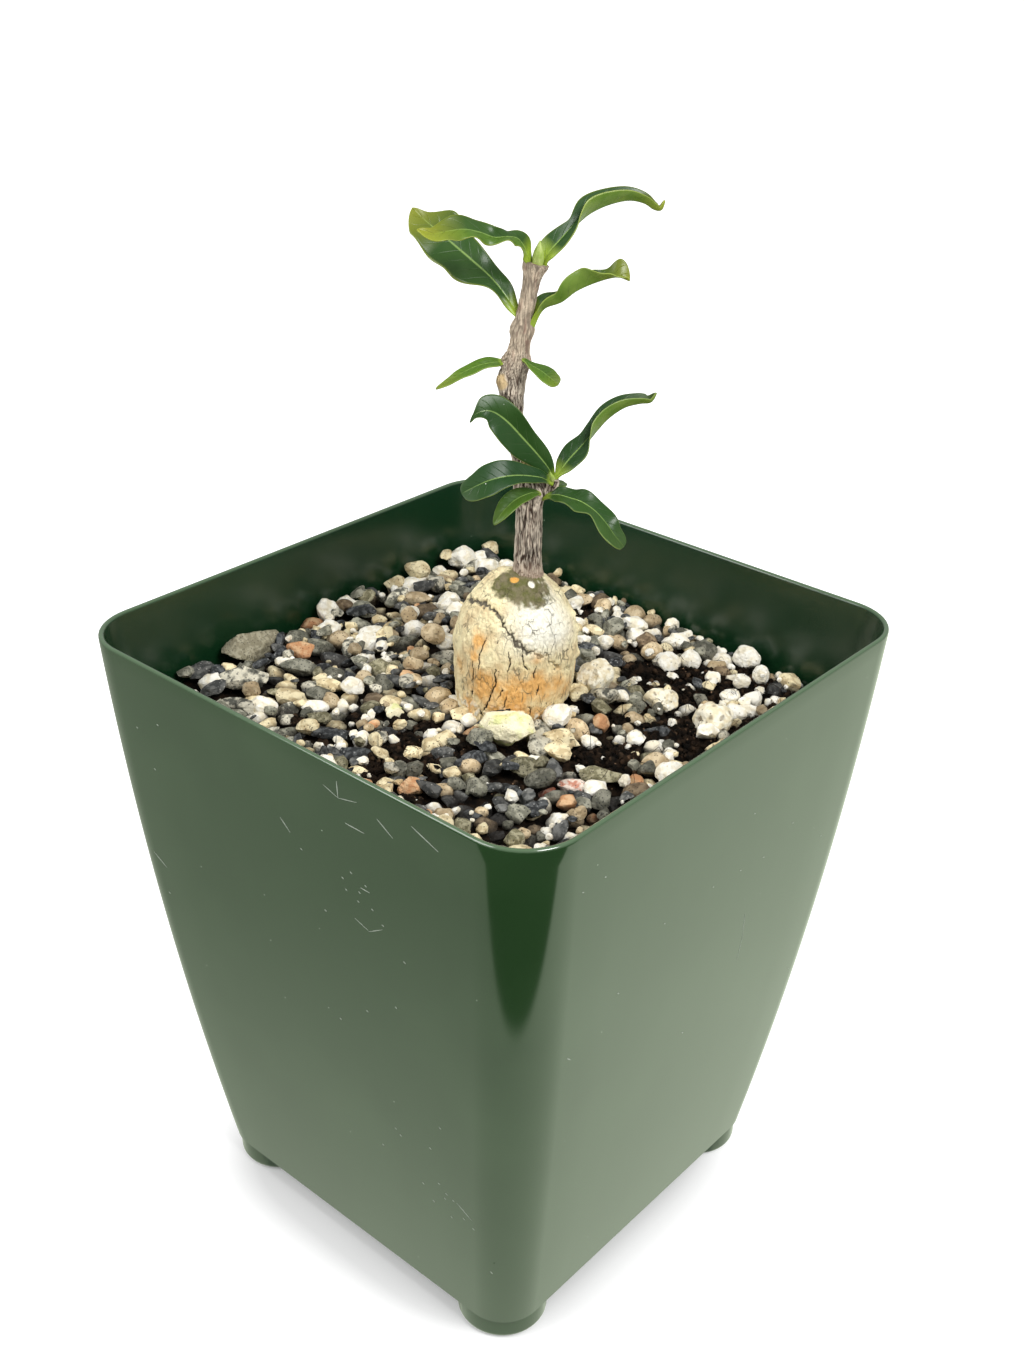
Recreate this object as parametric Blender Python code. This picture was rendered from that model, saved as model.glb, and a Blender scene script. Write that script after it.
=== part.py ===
# Potted fockea: a young caudex plant in a deep square nursery pot, topped with mixed grit.
# World frame: +Z up, ground at z = 0, the origin under the middle of the pot.
# The plant has its own frame (right, back, up), turned so that it faces a corner of the pot.

import math
import random

import bmesh
import bpy
from mathutils import Vector, noise

MM = 0.001
GAP = 0.3 * MM                 # clearance between pieces that touch

# Pot: a bowed square taper on four corner feet
POT_HEIGHT = 115.4 * MM
FOOT_HEIGHT = 4.6 * MM
RIM_HALF = 50.0 * MM
BASE_HALF = 37.7 * MM
WALL_BOW = 0.466               # share of the taper that gathers towards the foot
RIM_CORNER = 10.2 * MM
BASE_CORNER = 7.5 * MM
WALL = 1.0 * MM
RIM_EASE = 0.35 * MM
FLOOR_RECESS = 0.8 * MM
FLOOR = 1.5 * MM
FOOT_RADIUS = 8.0 * MM
FOOT_EASE = 1.2 * MM
DRAIN_RADIUS = 4.5 * MM
DRAIN_SPACING = 17.0 * MM
CORNER_STEPS = 6
WALL_LEVELS = 7

# Soil and grit
GRIT_DEPTH = 15.6 * MM         # from the rim to the grit's mean level
GRIT_TILT = -0.03              # the grit lies higher towards -X
GRIT_MOUND = 1.0 * MM
GRIT_LAYER = 2.2 * MM          # loose grit above the packed soil
SOIL_RINGS = 9
SOIL_SIDE_STEPS = 6
SOIL_ROUGHNESS = 0.4 * MM
SOIL_GRAIN = 0.022             # distance between the soil's swells

# Plant
PLANT_AT = (0.9 * MM, 2.9 * MM)
PLANT_TURN = math.radians(40.5)
CAUDEX_HALF = 10.4 * MM
CAUDEX_WAIST = 111.0 * MM      # height of the widest girth
CAUDEX_DOME = 14.8 * MM
CAUDEX_CROWN = 124.8 * MM      # flat crown that the stem stands on
CAUDEX_SHIFT = 0.3 * MM
CAUDEX_SIDES = 24
CAUDEX_ROOT = (                # height and half width below the waist, down to the blunt root
    (106.0, 10.35), (101.0, 10.0), (97.0, 9.3), (92.5, 8.0), (88.0, 6.2), (83.5, 4.2), (79.0, 2.6), (75.5, 1.3),
)
STEM = (                       # right, back, up, radius
    (1.9, 0.0, 125.1, 2.4), (1.9, 0.0, 129.0, 2.25), (1.9, 0.0, 136.3, 2.25), (1.5, 0.0, 139.2, 2.3),
    (0.9, 0.0, 143.4, 1.8), (-1.0, 0.0, 150.5, 1.75), (-1.3, 0.0, 154.0, 1.9), (-1.3, 0.0, 157.4, 2.2),
    (-0.7, 0.0, 160.4, 2.05), (-0.2, 0.0, 163.1, 1.7), (0.3, 0.0, 167.2, 1.4), (1.0, 0.0, 170.9, 1.3),
    (1.4, 0.0, 173.7, 1.4), (1.9, 0.0, 175.6, 1.8),
)
SHOOT = (
    (4.3, 0.0, 139.3, 1.1), (4.8, 0.0, 139.4, 1.15), (5.4, -0.4, 140.2, 1.15), (5.4, -0.7, 141.2, 1.2),
)
LEAF_THICKNESS = 0.5 * MM
PETIOLE_HALF = 0.5 * MM
LEAF_STATIONS = 11

# Each leaf: midrib points (right, back, up) in millimetres, blade width, the way its upper face looks
# at the base and at the tip, the fold of its halves at the base and at the tip, and its wavy edge.
LEAVES = {
    "leaf_crown_left": {
        "midrib": ((0.6, -0.3, 176.5), (-1.2, -1.0, 178.9), (-5.6, -4.0, 180.9), (-11.0, -7.5, 181.6),
                   (-15.4, -9.5, 182.6)),
        "width": 7.0, "faces": ((0.5, -0.3, 0.8), (0.1, -0.5, 0.8)), "fold": (15, 20), "waves": 2.5, "height": 0.9,
    },
    "leaf_crown_right": {
        "midrib": ((3.6, 0.2, 176.3), (5.7, 1.5, 179.8), (10.0, 5.0, 184.0), (16.3, 7.5, 184.9), (21.4, 8.0, 184.0)),
        "width": 4.8, "faces": ((-0.5, -0.8, 0.4), (-0.1, -0.2, 1.0)), "fold": (5, 40), "waves": 1.5, "height": 0.5,
    },
    "leaf_upper_left": {
        "midrib": ((-2.0, 0.0, 167.0), (-3.7, 1.0, 171.1), (-8.5, 3.5, 175.3), (-12.6, 5.2, 178.3),
                   (-17.2, 7.0, 182.0)),
        "width": 8.2, "faces": ((0.4, -0.7, 0.6), (0.4, -0.8, 0.5)), "fold": (8, 10), "waves": 2.5, "height": 0.8,
    },
    "leaf_upper_right": {
        "midrib": ((2.5, -0.2, 166.7), (3.3, -0.5, 169.2), (7.3, -1.5, 172.5), (11.8, -2.5, 175.3),
                   (16.0, -3.0, 174.5)),
        "width": 5.0, "faces": ((-0.5, 0.0, 0.8), (0.1, -0.1, 1.0)), "fold": (15, 25), "waves": 2.5, "height": 0.9,
    },
    "leaf_middle_left": {
        "midrib": ((-3.4, 0.0, 160.0), (-4.9, -0.5, 160.1), (-9.2, -2.5, 158.7), (-13.0, -3.5, 156.9)),
        "width": 3.4, "faces": ((0.0, -0.4, 0.9), (-0.3, -0.3, 0.9)), "fold": (20, 20), "waves": 1.0, "height": 0.3,
    },
    "leaf_middle_right": {
        "midrib": ((1.2, -1.9, 160.4), (2.9, -3.0, 159.7), (5.7, -5.0, 158.5)),
        "width": 3.6, "faces": ((0.3, -0.5, 0.8), (0.5, -0.5, 0.7)), "fold": (20, 20), "waves": 1.0, "height": 0.2,
    },
    "leaf_shoot_top": {
        "midrib": ((5.0, 0.2, 142.1), (3.5, -1.8, 145.3), (0.2, -3.4, 149.1), (-4.4, -4.6, 154.0),
                   (-7.6, -5.8, 151.6)),
        "width": 6.6, "faces": ((0.4, -0.9, 0.3), (-0.3, -0.8, 0.6)), "fold": (12, 10), "waves": 1.5, "height": 0.6,
    },
    "leaf_shoot_right": {
        "midrib": ((6.5, -0.4, 142.3), (7.7, 1.0, 143.5), (11.3, 3.2, 148.0), (16.2, 5.4, 151.8), (22.0, 7.0, 153.5)),
        "width": 4.8, "faces": ((-0.5, -0.8, 0.4), (-0.1, -0.2, 1.0)), "fold": (5, 40), "waves": 1.5, "height": 0.5,
    },
    "leaf_shoot_left": {
        "midrib": ((3.9, -2.8, 141.0), (0.8, -6.4, 142.3), (-4.3, -8.8, 142.6), (-8.8, -9.0, 141.5)),
        "width": 6.8, "faces": ((0.2, -0.8, 0.6), (-0.1, -0.7, 0.7)), "fold": (12, 8), "waves": 1.5, "height": 0.4,
    },
    "leaf_shoot_back": {
        "midrib": ((6.5, 1.0, 139.8), (7.0, 2.8, 139.4), (7.9, 5.3, 138.6)),
        "width": 2.8, "faces": ((0.2, -0.5, 0.9), (0.2, -0.3, 0.9)), "fold": (15, 10), "waves": 1.0, "height": 0.1,
    },
    "leaf_node_left": {
        "midrib": ((2.5, -2.9, 139.4), (1.1, -4.2, 139.8), (-1.8, -6.8, 138.5), (-3.7, -9.0, 136.4)),
        "width": 4.2, "faces": ((0.3, -0.5, 0.8), (-0.2, -0.6, 0.8)), "fold": (15, 15), "waves": 1.0, "height": 0.3,
    },
    "leaf_node_right": {
        "midrib": ((4.4, -1.5, 136.7), (8.1, -2.4, 138.4), (12.9, -4.7, 137.1), (17.1, -8.0, 132.9)),
        "width": 5.0, "faces": ((0.0, -0.5, 0.9), (0.5, -0.4, 0.8)), "fold": (20, 12), "waves": 2.0, "height": 0.4,
    },
}
BUDS = {                       # base point (right, back, up), the way it points, length and radius
    "crown_bud": ((1.95, 0.0, 175.9), (0.2, 0.0, 1.0), 2.9, 0.65),
    "shoot_bud": ((5.3, -1.4, 141.5), (-0.1, -0.4, 0.9), 1.8, 0.5),
}

# Colours: red, green, blue, as a Principled base colour
GREEN_PLASTIC = (0.020, 0.075, 0.030)
PEAT = (0.030, 0.020, 0.014)
CAUDEX_BARK = (0.60, 0.45, 0.26)
STEM_BARK = (0.27, 0.22, 0.18)
LEAF_GREEN = (0.030, 0.110, 0.020)
BUD_GREEN = (0.30, 0.45, 0.08)
STONE_COLOURS = {
    "grey": (0.26, 0.26, 0.22),
    "slate": (0.13, 0.12, 0.13),
    "black": (0.035, 0.037, 0.040),
    "white": (0.72, 0.70, 0.64),
    "cream": (0.58, 0.47, 0.30),
    "tan": (0.42, 0.29, 0.15),
    "orange": (0.62, 0.26, 0.13),
    "olive": (0.20, 0.19, 0.09),
}

# Stones that stand out in the top dressing: colour, centre (x, y), long, short and high sizes, all in
# millimetres, and the turn of the long side in degrees.
STONES = {
    "cobble": ("grey", (-44.4, -17.0), (11.5, 5.8, 4.6), 88),
    "granite_chip": ("grey", (-37.2, -25.4), (9.2, 5.6, 4.0), 40),
    "slate_chip": ("slate", (-44.8, -28.4), (4.8, 4.2, 3.4), 60),
    "quartz_grey": ("grey", (-33.8, -15.6), (7.0, 3.6, 2.8), 40),
    "orange_pebble": ("orange", (-38.6, -10.6), (5.2, 3.6, 3.2), 30),
    "white_wall_high": ("white", (-45.2, 2.2), (4.4, 3.8, 4.4), 70),
    "white_wall_low": ("white", (-41.0, -1.2), (4.6, 3.4, 3.2), 40),
    "white_wall_back": ("white", (-45.2, 7.8), (4.2, 3.4, 3.4), 80),
    "cream_wall": ("cream", (-44.4, 25.4), (5.8, 3.4, 3.0), 70),
    "tan_slab": ("tan", (-38.9, 19.3), (7.0, 3.6, 2.6), 40),
    "white_oval": ("white", (-33.6, 2.8), (5.0, 3.2, 2.6), 40),
    "cream_left": ("cream", (-25.1, -16.1), (5.0, 3.4, 2.6), 40),
    "white_left": ("white", (-21.8, -22.6), (5.0, 2.8, 2.4), 40),
    "basalt_long": ("black", (-13.6, -27.2), (7.2, 2.8, 2.2), 30),
    "basalt_short": ("black", (-6.2, -28.4), (6.0, 2.8, 2.2), 40),
    "salmon": ("orange", (7.2, -28.7), (4.4, 3.6, 3.0), 50),
    "cream_back": ("cream", (-43.6, 38.0), (6.0, 4.6, 4.0), 50),
    "white_back": ("white", (-36.8, 38.4), (4.8, 4.4, 3.8), 20),
    "cream_rear": ("cream", (-15.5, 42.0), (4.6, 3.2, 2.6), 40),
    "pumice_side": ("white", (8.8, 15.6), (6.8, 6.2, 5.4), 110),
    "pumice_big": ("white", (19.8, 20.4), (6.2, 4.8, 4.0), 40),
    "pumice_wedge": ("cream", (30.3, 21.0), (6.8, 6.4, 4.6), 30),
    "basalt_right": ("black", (24.4, 13.4), (5.0, 2.8, 2.2), 40),
    "white_right": ("white", (23.9, 8.2), (3.4, 3.2, 2.8), 10),
    "orange_small": ("orange", (16.8, 7.6), (3.6, 3.0, 3.0), 130),
    "olive_slab": ("olive", (26.6, -4.8), (7.4, 4.0, 3.0), 40),
    "orange_egg": ("orange", (31.6, -2.2), (3.4, 2.8, 2.6), 120),
    "perlite_high": ("white", (21.2, 44.9), (5.2, 4.0, 4.4), 10),
    "perlite_mid": ("white", (23.8, 38.4), (4.6, 3.0, 2.6), 40),
    "perlite_corner": ("white", (26.4, 42.2), (3.6, 3.4, 3.6), 60),
    "cream_corner": ("cream", (31.0, 44.8), (4.4, 4.0, 3.2), 20),
    "perlite_rear": ("white", (7.9, 41.1), (5.4, 3.8, 3.2), 40),
    "perlite_front": ("white", (26.6, 31.8), (3.8, 3.4, 2.8), 80),
    "lime_boulder": ("cream", (9.2, -8.2), (9.4, 6.0, 5.6), 40),
    "white_angular": ("white", (16.4, -10.6), (4.0, 3.6, 3.0), 60),
    "pumice_front": ("tan", (15.8, -1.8), (6.2, 4.0, 3.4), 40),
    "pink_long": ("white", (25.4, -10.0), (5.8, 2.8, 2.4), 40),
    "orange_front": ("orange", (27.4, -14.0), (3.8, 2.8, 2.4), 40),
    "tan_front": ("tan", (28.6, -28.1), (3.6, 3.2, 3.0), 110),
    "grey_green": ("grey", (24.0, -22.0), (3.8, 3.0, 2.6), 30),
}


def clear_scene():
    for obj in list(bpy.data.objects):
        bpy.data.objects.remove(obj, do_unlink=True)


def material(name, colour, roughness):
    made = bpy.data.materials.new(name)
    made.use_nodes = True
    shader = made.node_tree.nodes["Principled BSDF"]
    shader.inputs["Base Color"].default_value = (*colour, 1.0)
    shader.inputs["Roughness"].default_value = roughness
    shader.inputs["Metallic"].default_value = 0.0
    return made


def add_object(name, bm, parent=None, smooth=True):
    mesh = bpy.data.meshes.new(name)
    bm.to_mesh(mesh)
    bm.free()
    if smooth:
        mesh.shade_smooth()
    obj = bpy.data.objects.new(name, mesh)
    bpy.context.scene.collection.objects.link(obj)
    obj.parent = parent
    return obj


def helper(name, bm, parent=None):
    """A cutter or a piece to be joined: it shows as wire and stays out of renders."""
    obj = add_object(name, bm, parent)
    obj.hide_render = True
    obj.display_type = "WIRE"
    return obj


def add_boolean(obj, other, operation):
    modifier = obj.modifiers.new(other.name, "BOOLEAN")
    modifier.operation = operation
    modifier.solver = "EXACT"
    modifier.object = other


def loft(bm, rings):
    """A closed shape through rings of equal length, with a flat face over the first and the last."""
    loops = [[bm.verts.new(point) for point in ring] for ring in rings]
    for low, high in zip(loops, loops[1:]):
        for i in range(len(low)):
            j = (i + 1) % len(low)
            bm.faces.new((low[i], low[j], high[j], high[i]))
    bm.faces.new(loops[0])
    bm.faces.new(loops[-1])
    bmesh.ops.recalc_face_normals(bm, faces=bm.faces)


def circle(radius, z, sides, centre=(0.0, 0.0)):
    turns = [2 * math.pi * k / sides for k in range(sides)]
    return [Vector((centre[0] + radius * math.cos(a), centre[1] + radius * math.sin(a), z)) for a in turns]


def smooth_path(points, count):
    """Points at even parameter steps on a smooth curve through the given ones (any number of values each)."""
    spans = len(points) - 1
    result = []
    for k in range(count):
        place = spans * k / (count - 1)
        i = min(int(place), spans - 1)
        t = place - i
        near = [points[max(i - 1, 0)], points[i], points[i + 1], points[min(i + 2, spans)]]
        result.append([
            0.5 * (2 * b + (c - a) * t + (2 * a - 5 * b + 4 * c - d) * t ** 2 + (3 * b - a - 3 * c + d) * t ** 3)
            for a, b, c, d in zip(*near)
        ])
    return result


# Pot

def taper(z):
    """How far down the wall this height is, 0 at the rim and 1 at the foot, with the bow added."""
    down = (POT_HEIGHT - z) / (POT_HEIGHT - FOOT_HEIGHT)
    return down * (1 - WALL_BOW) + down ** 2 * WALL_BOW


def wall_ring(z, inset=0.0, side_steps=1):
    """The pot's rounded square at this height, drawn in by the inset, each flat side in this many steps."""
    half = RIM_HALF + (BASE_HALF - RIM_HALF) * taper(z) - inset
    radius = RIM_CORNER + (BASE_CORNER - RIM_CORNER) * taper(z) - inset
    ring = []
    for corner in range(4):
        middle = math.radians(45 + 90 * corner)
        centre = Vector((math.cos(middle), math.sin(middle), 0)) * math.sqrt(2) * (half - radius)
        for step in range(CORNER_STEPS + 1):
            angle = middle + math.radians(90) * (step / CORNER_STEPS - 0.5)
            ring.append(centre + Vector((radius * math.cos(angle), radius * math.sin(angle), z)))
        turned = Vector((-math.sin(middle), math.cos(middle), 0)) * math.sqrt(2) * (half - radius)
        side = turned - centre
        side.z = 0.0
        start = ring[-1]
        ring += [start + side * step / side_steps for step in range(1, side_steps)]
    return ring


def heights(low, high, count):
    return [low + (high - low) * k / (count - 1) for k in range(count)]


def foot(name, x, y):
    top = FOOT_HEIGHT + FLOOR_RECESS + FLOOR / 2
    bm = bmesh.new()
    loft(bm, [
        circle(FOOT_RADIUS - FOOT_EASE, 0.0, 20, (x, y)),
        circle(FOOT_RADIUS - FOOT_EASE * 0.3, FOOT_EASE * 0.3, 20, (x, y)),
        circle(FOOT_RADIUS, FOOT_EASE, 20, (x, y)),
        circle(FOOT_RADIUS, top, 20, (x, y)),
    ])
    return helper(name, bm)


def drain(name, x, y):
    bm = bmesh.new()
    loft(bm, [circle(DRAIN_RADIUS, z, 20, (x, y)) for z in (0.0, FOOT_HEIGHT + FLOOR_RECESS + 3 * FLOOR)])
    return helper(name, bm)


def build_pot():
    floor_low = FOOT_HEIGHT + FLOOR_RECESS
    rings = [wall_ring(floor_low, WALL), wall_ring(FOOT_HEIGHT, WALL)]
    rings += [wall_ring(z) for z in heights(FOOT_HEIGHT, POT_HEIGHT - RIM_EASE, WALL_LEVELS)]
    rings += [wall_ring(POT_HEIGHT, WALL / 2)]
    rings += [wall_ring(z, WALL) for z in heights(POT_HEIGHT - RIM_EASE, floor_low + FLOOR, WALL_LEVELS)]
    bm = bmesh.new()
    loft(bm, rings)
    pot = add_object("pot", bm)
    reach = BASE_HALF - FOOT_RADIUS - GAP
    for k, (x, y) in enumerate(((1, 1), (-1, 1), (-1, -1), (1, -1))):
        add_boolean(pot, foot(f"foot_{k + 1}", x * reach, y * reach), "UNION")
    spots = [(0, 0)] + [(x, y) for x in (-1, 1) for y in (-1, 1)]
    for k, (x, y) in enumerate(spots):
        add_boolean(pot, drain(f"drain_{k + 1}", x * DRAIN_SPACING, y * DRAIN_SPACING), "DIFFERENCE")
    pot.data.materials.append(material("green_plastic", GREEN_PLASTIC, 0.3))
    return pot


# Soil

def soil_top(x, y):
    mound = GRIT_MOUND * (1 - (x * x + y * y) / 0.045 ** 2)
    swell = SOIL_ROUGHNESS * noise.noise(Vector((x, y, 0.0)) / SOIL_GRAIN)
    return POT_HEIGHT - GRIT_DEPTH - GRIT_LAYER + GRIT_TILT * x + mound + swell


def build_soil(caudex_frame):
    clear = WALL + GAP
    low = FOOT_HEIGHT + FLOOR_RECESS + FLOOR + GAP
    edge_height = POT_HEIGHT - GRIT_DEPTH - GRIT_LAYER
    edge = wall_ring(edge_height, clear + 0.5 * GAP, SOIL_SIDE_STEPS)
    bm = bmesh.new()
    rings = [wall_ring(z, clear, SOIL_SIDE_STEPS) for z in heights(low, edge_height - 4 * MM, WALL_LEVELS)]
    for k in range(SOIL_RINGS):
        share = 1 - k / SOIL_RINGS
        flat = [point * share for point in edge]
        rings.append([Vector((p.x, p.y, soil_top(p.x, p.y))) for p in flat])
    loft(bm, rings)
    soil = add_object("soil", bm, smooth=False)
    add_boolean(soil, build_caudex_shape("caudex_socket", caudex_frame, GAP), "DIFFERENCE")
    soil.data.materials.append(material("peat", PEAT, 0.95))
    return soil


# Caudex, stem and shoot

def build_caudex_shape(name, frame, swell):
    """The caudex body, or its socket in the soil when it is swollen by a clearance."""
    profile = [(height * MM, half * MM) for height, half in reversed(CAUDEX_ROOT)]
    crown_angle = math.asin((CAUDEX_CROWN - CAUDEX_WAIST) / CAUDEX_DOME)
    for k in range(9):
        angle = crown_angle * k / 8
        profile.append((CAUDEX_WAIST + CAUDEX_DOME * math.sin(angle), CAUDEX_HALF * math.cos(angle)))
    profile[0] = (profile[0][0] - swell, profile[0][1])
    rings = []
    for height, half in profile:
        ring = circle(half + swell, height, CAUDEX_SIDES)
        lumps = [1 + 0.035 * noise.noise(point / 0.009) for point in ring]
        rings.append([Vector((p.x * n + CAUDEX_SHIFT, p.y * n, p.z)) for p, n in zip(ring, lumps)])
    bm = bmesh.new()
    loft(bm, rings)
    if swell:
        return helper(name, bm, frame)
    return add_object(name, bm, frame)


def tube(name, points, sides, count, frame):
    """A round limb through (right, back, up, radius) points, with flat ends."""
    path = smooth_path([[value * MM for value in point] for point in points], count)
    centres = [Vector(point[:3]) for point in path]
    rings = []
    for k, point in enumerate(path):
        ahead = centres[min(k + 1, count - 1)] - centres[max(k - 1, 0)]
        level = Vector((0, 1, 0)) - ahead.normalized() * ahead.normalized().y
        level.normalize()
        across = level.cross(ahead).normalized()
        turns = [2 * math.pi * s / sides for s in range(sides)]
        rings.append([centres[k] + (across * math.cos(a) + level * math.sin(a)) * point[3] for a in turns])
    bm = bmesh.new()
    loft(bm, rings)
    return add_object(name, bm, frame)


# Leaves and buds

def blade_half(u, width):
    """Half the blade's width at the share u of its length: a narrow petiole, an oval blade, a pointed tip."""
    start = 0.09
    along = max(0.0, (u - start) / (1 - start))
    oval = math.sin(math.pi * min(along, 1.0) ** 0.85) ** 0.75 if along > 0 else 0.0
    return max(PETIOLE_HALF * (1 - 0.3 * u), width / 2 * oval)


def build_leaf(name, leaf, frame, skin):
    path = smooth_path([[value * MM for value in point] for point in leaf["midrib"]], LEAF_STATIONS)
    spine = [Vector(point) for point in path]
    rings = []
    for k, centre in enumerate(spine):
        u = k / (LEAF_STATIONS - 1)
        ahead = (spine[min(k + 1, LEAF_STATIONS - 1)] - spine[max(k - 1, 0)]).normalized()
        look = Vector(leaf["faces"][0]).lerp(Vector(leaf["faces"][1]), u)
        up = (look - ahead * look.dot(ahead)).normalized()
        side = ahead.cross(up)
        fold = math.radians(leaf["fold"][0] + (leaf["fold"][1] - leaf["fold"][0]) * u)
        half = blade_half(u, leaf["width"] * MM)
        thick = LEAF_THICKNESS / 2 * (1.8 - 0.8 * min(u / 0.2, 1.0)) * (1 - 0.6 * u ** 3)
        wave = leaf["height"] * MM * math.sin(math.pi * u) * math.sin(2 * math.pi * leaf["waves"] * u)
        upper = []
        lower = []
        for hand in (-1, 0, 1):
            out = side * math.cos(fold) * hand + up * math.sin(fold) * abs(hand)
            normal = up * math.cos(fold * abs(hand)) - side * math.sin(fold) * hand
            point = centre + out * half + normal * wave * hand
            upper.append(point + normal * thick)
            lower.append(point - normal * thick)
        rings.append(upper + lower[::-1])
    bm = bmesh.new()
    loft(bm, rings)
    obj = add_object(name, bm, frame)
    obj.data.materials.append(skin)
    return obj


def build_bud(name, bud, frame, skin):
    """A small closed bud: a spindle that stands on its base point."""
    base, points_to, length, radius = bud
    ahead = Vector(points_to).normalized()
    level = ahead.cross(Vector((1, 0, 0))).normalized()
    across = level.cross(ahead)
    rings = []
    for along, swell in ((0.0, 0.7), (0.25, 1.0), (0.55, 0.85), (0.85, 0.4), (1.0, 0.12)):
        centre = (Vector(base) + ahead * length * along) * MM
        turns = [2 * math.pi * s / 8 for s in range(8)]
        rings.append([
            centre + (across * math.cos(a) + level * math.sin(a)) * radius * swell * MM for a in turns
        ])
    bm = bmesh.new()
    loft(bm, rings)
    obj = add_object(name, bm, frame)
    obj.data.materials.append(skin)
    return obj


# Stones

def stone_points(bm, seed):
    """Chips flat facets off a unit ball, as gravel breaks, and leaves it filling the unit ball's box."""
    rng = random.Random(seed)
    cuts = []
    for _ in range(9):
        direction = Vector((rng.uniform(-1, 1), rng.uniform(-1, 1), rng.uniform(-1, 1)))
        cuts.append((direction.normalized(), rng.uniform(0.72, 0.92)))
    for vert in bm.verts:
        for direction, depth in cuts:
            beyond = vert.co.dot(direction) - depth
            if beyond > 0:
                vert.co -= direction * beyond * 0.85
    for axis in range(3):
        low = min(vert.co[axis] for vert in bm.verts)
        high = max(vert.co[axis] for vert in bm.verts)
        for vert in bm.verts:
            vert.co[axis] = 2 * (vert.co[axis] - low) / (high - low) - 1


def build_stone(name, stone, seed, skins):
    colour, (x, y), sizes, turn = stone
    bm = bmesh.new()
    bmesh.ops.create_icosphere(bm, subdivisions=2, radius=1.0)
    stone_points(bm, seed)
    angle = math.radians(turn)
    for vert in bm.verts:
        across, along, up = [vert.co[axis] * sizes[axis] * MM / 2 for axis in range(3)]
        vert.co = (across * math.cos(angle) - along * math.sin(angle),
                   across * math.sin(angle) + along * math.cos(angle), up)
    place = Vector((x * MM, y * MM, 0.0))
    lift = max(soil_top(v.co.x + place.x, v.co.y + place.y) - v.co.z for v in bm.verts)
    place.z = lift + GAP + 0.05 * MM
    obj = add_object(name, bm, smooth=False)
    obj.location = place
    obj.data.materials.append(skins[colour])
    return obj


def main():
    clear_scene()
    plant = bpy.data.objects.new("plant_frame", None)
    plant.location = (*PLANT_AT, 0.0)
    plant.rotation_euler.z = PLANT_TURN
    bpy.context.scene.collection.objects.link(plant)

    build_pot()
    build_soil(plant)
    caudex = build_caudex_shape("caudex", plant, 0.0)
    caudex.data.materials.append(material("caudex_bark", CAUDEX_BARK, 0.8))
    bark = material("stem_bark", STEM_BARK, 0.85)
    for limb in (tube("main_stem", STEM, 12, 27, plant), tube("side_shoot", SHOOT, 8, 6, plant)):
        limb.data.materials.append(bark)
    leaf_skin = material("leaf_green", LEAF_GREEN, 0.35)
    for name, leaf in LEAVES.items():
        build_leaf(name, leaf, plant, leaf_skin)
    bud_skin = material("bud_green", BUD_GREEN, 0.5)
    for name, bud in BUDS.items():
        build_bud(name, bud, plant, bud_skin)
    skins = {name: material(f"stone_{name}", colour, 0.85) for name, colour in STONE_COLOURS.items()}
    for seed, (name, stone) in enumerate(STONES.items()):
        build_stone(f"stone_{name}", stone, seed, skins)


main()
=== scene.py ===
import math

import bmesh
import bpy
import numpy as np
from mathutils import Matrix, Vector, noise


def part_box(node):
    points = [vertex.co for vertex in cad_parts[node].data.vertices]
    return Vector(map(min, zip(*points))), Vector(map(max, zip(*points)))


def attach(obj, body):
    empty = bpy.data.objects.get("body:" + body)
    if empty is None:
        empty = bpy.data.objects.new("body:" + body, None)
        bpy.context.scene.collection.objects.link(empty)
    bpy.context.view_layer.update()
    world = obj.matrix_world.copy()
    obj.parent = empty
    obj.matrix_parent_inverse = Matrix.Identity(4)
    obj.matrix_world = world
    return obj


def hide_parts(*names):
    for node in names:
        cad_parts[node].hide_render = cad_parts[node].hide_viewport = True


# A young fockea in a square green nursery pot, dressed over its CAD frame.
# Lengths in the dictionaries are millimetres, unless a note says metres. The plant has a frame of its own:
# right, back and up, turned so that it faces one corner of the pot.

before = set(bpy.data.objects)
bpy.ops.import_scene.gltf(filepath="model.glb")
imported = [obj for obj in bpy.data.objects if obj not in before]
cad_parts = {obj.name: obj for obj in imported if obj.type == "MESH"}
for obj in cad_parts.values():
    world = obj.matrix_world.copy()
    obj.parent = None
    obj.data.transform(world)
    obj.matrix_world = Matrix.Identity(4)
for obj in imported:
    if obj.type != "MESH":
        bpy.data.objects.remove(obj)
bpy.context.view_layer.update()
mm = 0.001
scene = bpy.context.scene


# Mesh helpers

def smoothPath(points, count):
    # a smooth curve through rows of any width, read at even steps
    points = np.asarray(points, float)
    spans = len(points) - 1
    place = np.linspace(0, spans, count)
    i = np.minimum(place.astype(int), spans - 1)
    t = (place - i)[:, None]
    a, b = points[np.maximum(i - 1, 0)], points[i]
    c, d = points[i + 1], points[np.minimum(i + 2, spans)]
    square, cube = 2 * a - 5 * b + 4 * c - d, 3 * b - a - 3 * c + d
    return 0.5 * (2 * b + (c - a) * t + square * t ** 2 + cube * t ** 3)


def noiseAt(points, size, shift=0.0, octaves=1):
    # size is one swell's length, or three lengths for stretched grain
    spots = np.asarray(points, float) / size + shift * np.array((1.0, 1.7, 0.3))
    if octaves == 1:
        return np.array([noise.noise(Vector(spot)) for spot in spots])
    return np.array([noise.fractal(Vector(spot), 1.0, 2.0, octaves) for spot in spots])


def pathDistance(spots, path):
    # how far each 2D spot is from a bent line
    nearest = np.full(len(spots), 1e9)
    for start, end in zip(path, path[1:]):
        start, run = np.asarray(start, float), np.subtract(end, start)
        t = np.clip((spots - start) @ run / max(run @ run, 1e-9), 0, 1)
        nearest = np.minimum(nearest, np.linalg.norm(spots - start - t[:, None] * run, axis=1))
    return nearest


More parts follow.
